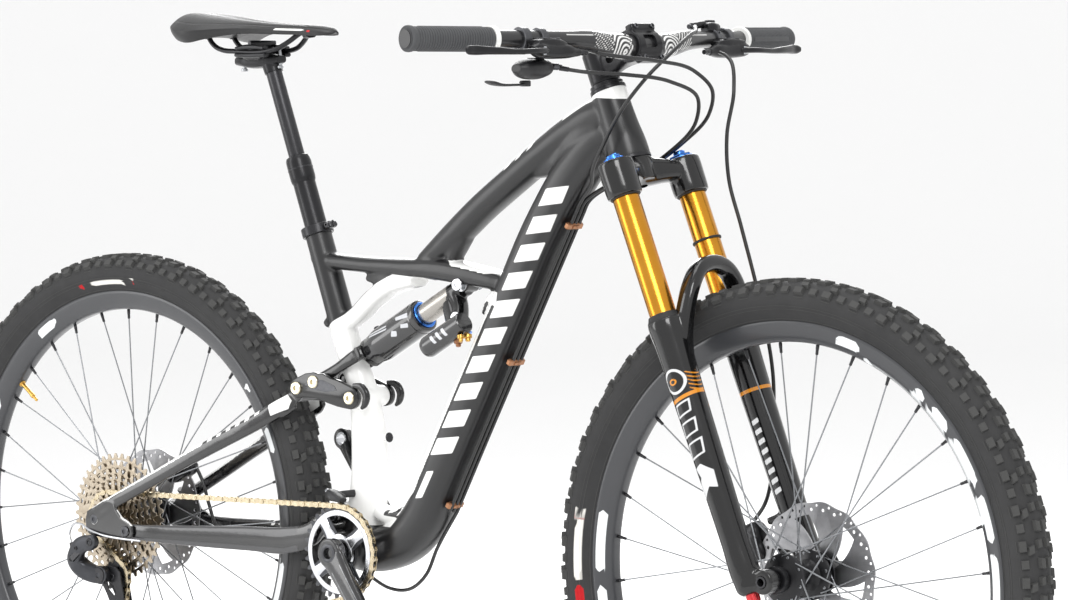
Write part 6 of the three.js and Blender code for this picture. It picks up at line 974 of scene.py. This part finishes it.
add("mech_cage", [plate(cgl, -59.6, -57.4, cw, .4), plate(cgl, -45.4, -43.4, cw + [], .4)] + [yrod(x, z, -58, -44, 2.6, 16) for x, z in (J1, J2)] + [yrod(-5.5, 292, -58, -44, 2.2, 14)] + [bolt((x, -59.4, z), (0, -1, 0), 4, 1.2, 2, 20) for x, z in (J1, J2)], M_BLACK, "derailleur_cage", "derailleur_cage", "derailleur", 30)
for nm, j in (("upper", J1), ("lower", J2)):
    o_, _ = sprocket(j[0], j[1], 11, 1.6); hs = [circ(j[0], j[1], 3, 16)] + [circ(j[0] + 11.6 * math.cos(a), j[1] + 11.6 * math.sin(a), 2.6, 10) for a in np.arange(5) * 2 * math.pi / 5]
    add("guide_wheel_" + nm, [plate(o_, -51.1, -48.9, hs, .3), ringc((j[0], -53, j[1]), (j[0], -47, j[1]), 3, 6.6, 24, .4)], M_PLASTIC, "jockey_" + nm, "jockey_" + nm, "plastic", 30)
# chain guide over the ring
add("chain_guide", fuse([loft([(406, -38, 424, 4, 4, 3), (413, -41, 425, 6, 6, 3), (424, -46, 424, 7.5, 8.5, 3), (436, -49, 421.6, 5.4, 8.5, 3), (446, -49.5, 418.6, 3.6, 7, 3)], 24, 4, Y), loft([(440, -20, 426, 5, 4, 3), (434, -31, 425.5, 5, 4, 3), (428, -42, 424.5, 5, 4, 3)], 20, 3), loft([(406, -41.6, 425, 8, 1.6, 3), (424, -42.2, 424, 8, 1.6, 3), (442, -42.4, 419, 7, 1.6, 3)], 20, 3)], 1.2 if not q_ else 2, 2, .5, []), M_PLASTIC, "frame", None, "plastic", 45)
add("chain_guide_bolts", [bolt((412, -44.6, 430), (-.2, -.7, .6), 3.2, 1.6, 1.8, 16), bolt((428, -54.2, 423), (0, -1, 0), 3.2, 1.4, 1.8, 16)], M_SILVER, "frame", None, "silver_alu", 30)
add("rear_hose_line", [tube([lowp(8) - DTDIR * .3, (560, 9, 358), (538, 12, 322), (505, 18, 300), (460, 26, 296), (420, 32, 308), (385, 39, 326), (340, 48, 330.5), (270, 50, 331), (200, 48, 332), (150, 47, 332), (118, 45, 350), (100, 45, 385), (88, 46, 414), (74, 46, 436)], 2.45, 14, 14)], M_HOSE, "chainstay", "rear_brake_hose_stay", "hose", 70, bend=("frame", "chainstay", (-.02, 0, .36), (-.155, 0, .31)))

# ------------------------------------------------------------------ post head and saddle
railp = lambda s: [(176, s * 24, 1036), (181, s * 24, 1028), (190, s * 23.8, 1020), (204, s * 23, 1015), (225, s * 22, 1013.4), (285, s * 21, 1013.6), (303, s * 18.6, 1017.4), (320, s * 14, 1026.5), (333, s * 9, 1036), (340, s * 6, 1040)]
add("rails", [tube(railp(s), 3.5, 16, 8) for s in (-1, 1)] + [tube([(337, -9, 1037), (341, -4, 1038.6), (341, 4, 1038.6), (337, 9, 1037)], 3.5, 14, 4)], M_BLACK, "saddle_post", "saddle_rails", "steel", 60)
ph = [loft([(212, 0, 1000, 6, 10, 3), (226, 0, 1000, 8, 14, 3), (240, 0, 1000, 10, 15, 3), (262, 0, 1001, 10, 15.5, 3), (280, 0, 1002, 8, 13, 3), (292, 0, 1002.6, 5, 9, 3)], 32, 4), rod(SEAT(206), SEAT(236), 11.6, 40, 13.5), ] + [loft([(228, s * 21.4, 1008.4, 3, 5.6, 3), (255, s * 21.6, 1007.8, 3.6, 6, 3), (284, s * 21, 1008.4, 3, 5.6, 3)], 24, 3) for s in (-1, 1)] + [loft([(255, -22, 1006, 16, 4, 3), (255, 0, 1004.6, 18, 4.6, 3), (255, 22, 1006, 16, 4, 3)], 24, 3, (0, 0, 1))]
add("post_inner", [lathe([(7, -34), (10.6, -34), (11, -33), (11, 228), (7, 228), (7, -34)], SEAT(0), SD, 48)], M_BLACK, "saddle_post", "dropper_inner", "black_alu", 30)
add("post_head", fuse(ph, 1.2 if not q_ else 2.2, 3, .5, [rod(SEAT(150), SEAT(223.4), 19, 40)]), M_BLACK, "saddle_post", None, "black_alu", 45)
add("post_clamps", [loft([(230, s * 21.6, 1017.2, 2.6, 5.6, 3), (242, s * 21.6, 1018.6, 3.4, 6, 3), (268, s * 21.2, 1018.8, 3.4, 6, 3), (281, s * 21, 1017.6, 2.6, 5.6, 3)], 24, 4) for s in (-1, 1)] + [loft([(255, -24, 1019, 9, 3, 3), (255, 0, 1021, 7, 3, 3), (255, 24, 1019, 9, 3, 3)], 24, 3, (1, 0, 0))], M_BLACK, "saddle_post", None, "black_alu", 40)
add("post_bolts", [rod((222, 0, 988), (222, 0, 1018), 2.6, 16), rod((222, 0, 986), (222, 0, 990), 4.6, 20, bev=.6), rod((289, 0, 992), (288, 0, 1019), 2.4, 16), rod((289, 0, 990), (289, 0, 994), 4.2, 20, bev=.6)], M_STEEL, "saddle_post", None, "steel", 35)
# saddle: a crowned cover, cut away in the middle
def saddle_rows():
    # x, half width, z of the crown, z of the skirt, channel depth
    return [(121.5, 17, 1059, 1050, 0), (125, 36, 1063.5, 1043, 0), (132, 51, 1066, 1036.5, .6), (146, 64, 1066.8, 1029, 1.4), (162, 70.4, 1066.2, 1024, 2.2), (176, 71.4, 1064.8, 1023, 3.0), (192, 68, 1063, 1026, 3.6), (212, 57, 1060.4, 1030.5, 4.2), (234, 44, 1057.8, 1034, 4.6), (258, 33.6, 1055.4, 1035.6, 4.6), (285, 27.2, 1053.4, 1035, 4.4), (312, 23.4, 1051.8, 1034.2, 3.6), (338, 20.8, 1050.4, 1033.6, 2.4), (362, 18.4, 1048.6, 1032.4, 1.2), (380, 14.8, 1045.8, 1032.6, .4), (388, 10.4, 1043, 1033.6, 0), (392, 5, 1040, 1035.4, 0)]
R_ = spl([list((x, 0, 0, w_, zt, zs, ch_)) for x, w_, zt, zs, ch_ in saddle_rows()], 7)
def sad_ring(x, w_, zt, zs, ch_, inset=0.0):
    pts = []; M_ = 26
    for i in range(M_ + 1):  # top, from right edge to left edge
        t = -1 + 2 * i / M_; yy = w_ * math.sin(t * math.pi / 2) ; dome = (1 - abs(yy / w_) ** 2.6) if w_ > 0 else 0
        z = zs + (zt - zs) * (0.42 + 0.58 * dome) - ch_ * math.exp(-(yy / 9.5) ** 2); pts.append((x, yy, z))
    for i in range(1, 8):  # skirt down the left, under, and up the right
        t = i / 8; pts.append((x, w_ * (1 - .16 * t ** 2), zs + (zt - zs) * .42 * (1 - t)))
    for i in range(0, 13):
        t = -1 + 2 * i / 12; pts.append((x, -t * w_ * .84, zs + 2.2 + min(7, (zt - zs) * .3) * (1 - t * t)))
    for i in range(1, 8):
        t = 1 - i / 8; pts.append((x, -w_ * (1 - .16 * t ** 2), zs + (zt - zs) * .42 * (1 - t)))
    return np.array(pts)
rings = [sad_ring(r[0], max(r[3], 1), r[4], r[5], max(r[6], 0)) for r in R_]
def sad_w(p, n):
    q = xz(p); return union(inter(sd_poly(q, [(300, 1041.6), (346, 1040.2), (352, 1041.2), (346, 1042.6), (302, 1043.8)]), np.where(np.abs(n[:, 1]) > .5, -3.0, 3.0)))
def sad_r(p, n):
    q = xz(p); return inter(sd_poly(q, [(356, 1038.6), (361, 1038.4), (361, 1040.8), (356, 1041)]), np.where(np.abs(n[:, 1]) > .5, -3.0, 3.0))
def seam(p, n):  # sewn lines either side of the centre channel, and round the edge
    w_ = np.interp(p[:, 0], R_[:, 0], R_[:, 3]); return np.minimum(np.abs(np.abs(p[:, 1]) - w_ * .80), np.abs(np.abs(p[:, 1]) - np.maximum(11, w_ * .34)) + np.where((p[:, 0] > 150) & (p[:, 0] < 352), 0, 9))
def saddle_mat():
    g = G("m_saddle"); n1 = g.noise(60, 5); col = g.mix(n1, srgb("151516"), srgb("232324"))
    vo = g.n.new("ShaderNodeTexVoronoi"); vo.inputs["Scale"].default_value = 950; g.link(g.tc.outputs["Object"], vo.inputs["Vector"])
    col = g.mix(g.inside("w", .3), col, WHITE); col = g.mix(g.inside("r", .3), col, srgb("c01820"))
    mr = g.n.new("ShaderNodeMapRange"); mr.inputs[1].default_value = 0; mr.inputs[2].default_value = 1.8; g.link(g.attr("s"), mr.inputs[0])
    b1_ = g.bump(vo.outputs["Distance"], .22, .0004); g.bump(mr.outputs[0], .8, .0012, b1_)
    col = g.mix(g.math("MULTIPLY", g.wear(), .35), col, srgb("4a4a4c")); return base(g, col, g.math("ADD", g.math("MULTIPLY", g.noise(300, 3), .16), .36), 0.0, spec=.5)
sad = add("saddle_cover", skin(rings), saddle_mat(), "saddle_post", "saddle", "saddle", 60, attrs={"w": sad_w, "r": sad_r, "s": seam}, subsurf=1)
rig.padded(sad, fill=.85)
sad_base = [sad_ring(r[0], max(r[3] * .93, 1), r[5] + 6, r[5] + .4, 0) for r in R_[4:-4]]
add("saddle_base", [loft([(176, s * 24, 1030, 4, 4), (176, s * 24, 1040, 5, 5)], 16, 2) for s in (-1, 1)] + [loft([(338, 0, 1034, 4, 8, 3), (346, 0, 1036, 5, 10, 3)], 20, 2)], M_PLASTIC, "saddle_post", None, "plastic", 45)
# ------------------------------------------------------------------ floor, light
def flat_mat(name, c, r):
    g = G(name); n = g.noise(.8, 3); col = g.mix(n, c, tuple(x * .985 for x in c[:3]) + (1,)); g.bump(g.noise(180, 3), .02, .0003); return base(g, col, r, 0.0, spec=.2)
me = bpy.data.meshes.new("floor")
prof = [(-9.0, 0.0)] + [(9 + 3.0 * math.sin(a), 3.0 - 3.0 * math.cos(a)) for a in np.linspace(0, math.pi / 2, 14)] + [(12.0, 9.0)]
d = np.array([-math.sin(yaw), math.cos(yaw)]); e = np.array([math.cos(yaw), math.sin(yaw)]); vs = []
for (u, z) in prof:
    for k in (-14, 14): vs.append((d[0] * u + e[0] * k, d[1] * u + e[1] * k, z))
me.from_pydata(vs, [], [(2 * i, 2 * i + 1, 2 * i + 3, 2 * i + 2) for i in range(len(prof) - 1)])
fl = bpy.data.objects.new("floor", me); scene.collection.objects.link(fl); me.materials.append(flat_mat("m_floor", (0.93, 0.93, 0.93, 1), .9))
for p in me.polygons: p.use_smooth = True
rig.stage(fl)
w = bpy.data.worlds.new("w"); scene.world = w; w.use_nodes = True; w.node_tree.nodes["Background"].inputs[0].default_value = (1, 1, 1, 1); w.node_tree.nodes["Background"].inputs[1].default_value = WORLD
def area(name, loc, target, size, power, sy=None):
    l = bpy.data.lights.new(name, "AREA"); l.energy = power; l.size = size; l.shape = "RECTANGLE"; l.size_y = sy or size
    o = bpy.data.objects.new(name, l); scene.collection.objects.link(o); o.location = loc
    o.rotation_euler = (Vector(target) - Vector(loc)).to_track_quat("-Z", "Y").to_euler(); return o
area("key", (2.6, -2.6, 3.4), (0, 0, .5), 1.6, 70, 1.6)
area("top", (-.3, -.2, 4.2), (0, 0, .5), 3.2, 55, 2.0)
area("rim", (-2.2, 2.8, 2.2), (0, 0, .6), 1.6, 60, 2.2)
area("side", (-2.6, -2.6, 1.4), (0, 0, .6), 1.2, 34, 2.4)
scene.view_settings.view_transform = "Standard"; scene.view_settings.look = "None"; scene.view_settings.exposure = 0.0
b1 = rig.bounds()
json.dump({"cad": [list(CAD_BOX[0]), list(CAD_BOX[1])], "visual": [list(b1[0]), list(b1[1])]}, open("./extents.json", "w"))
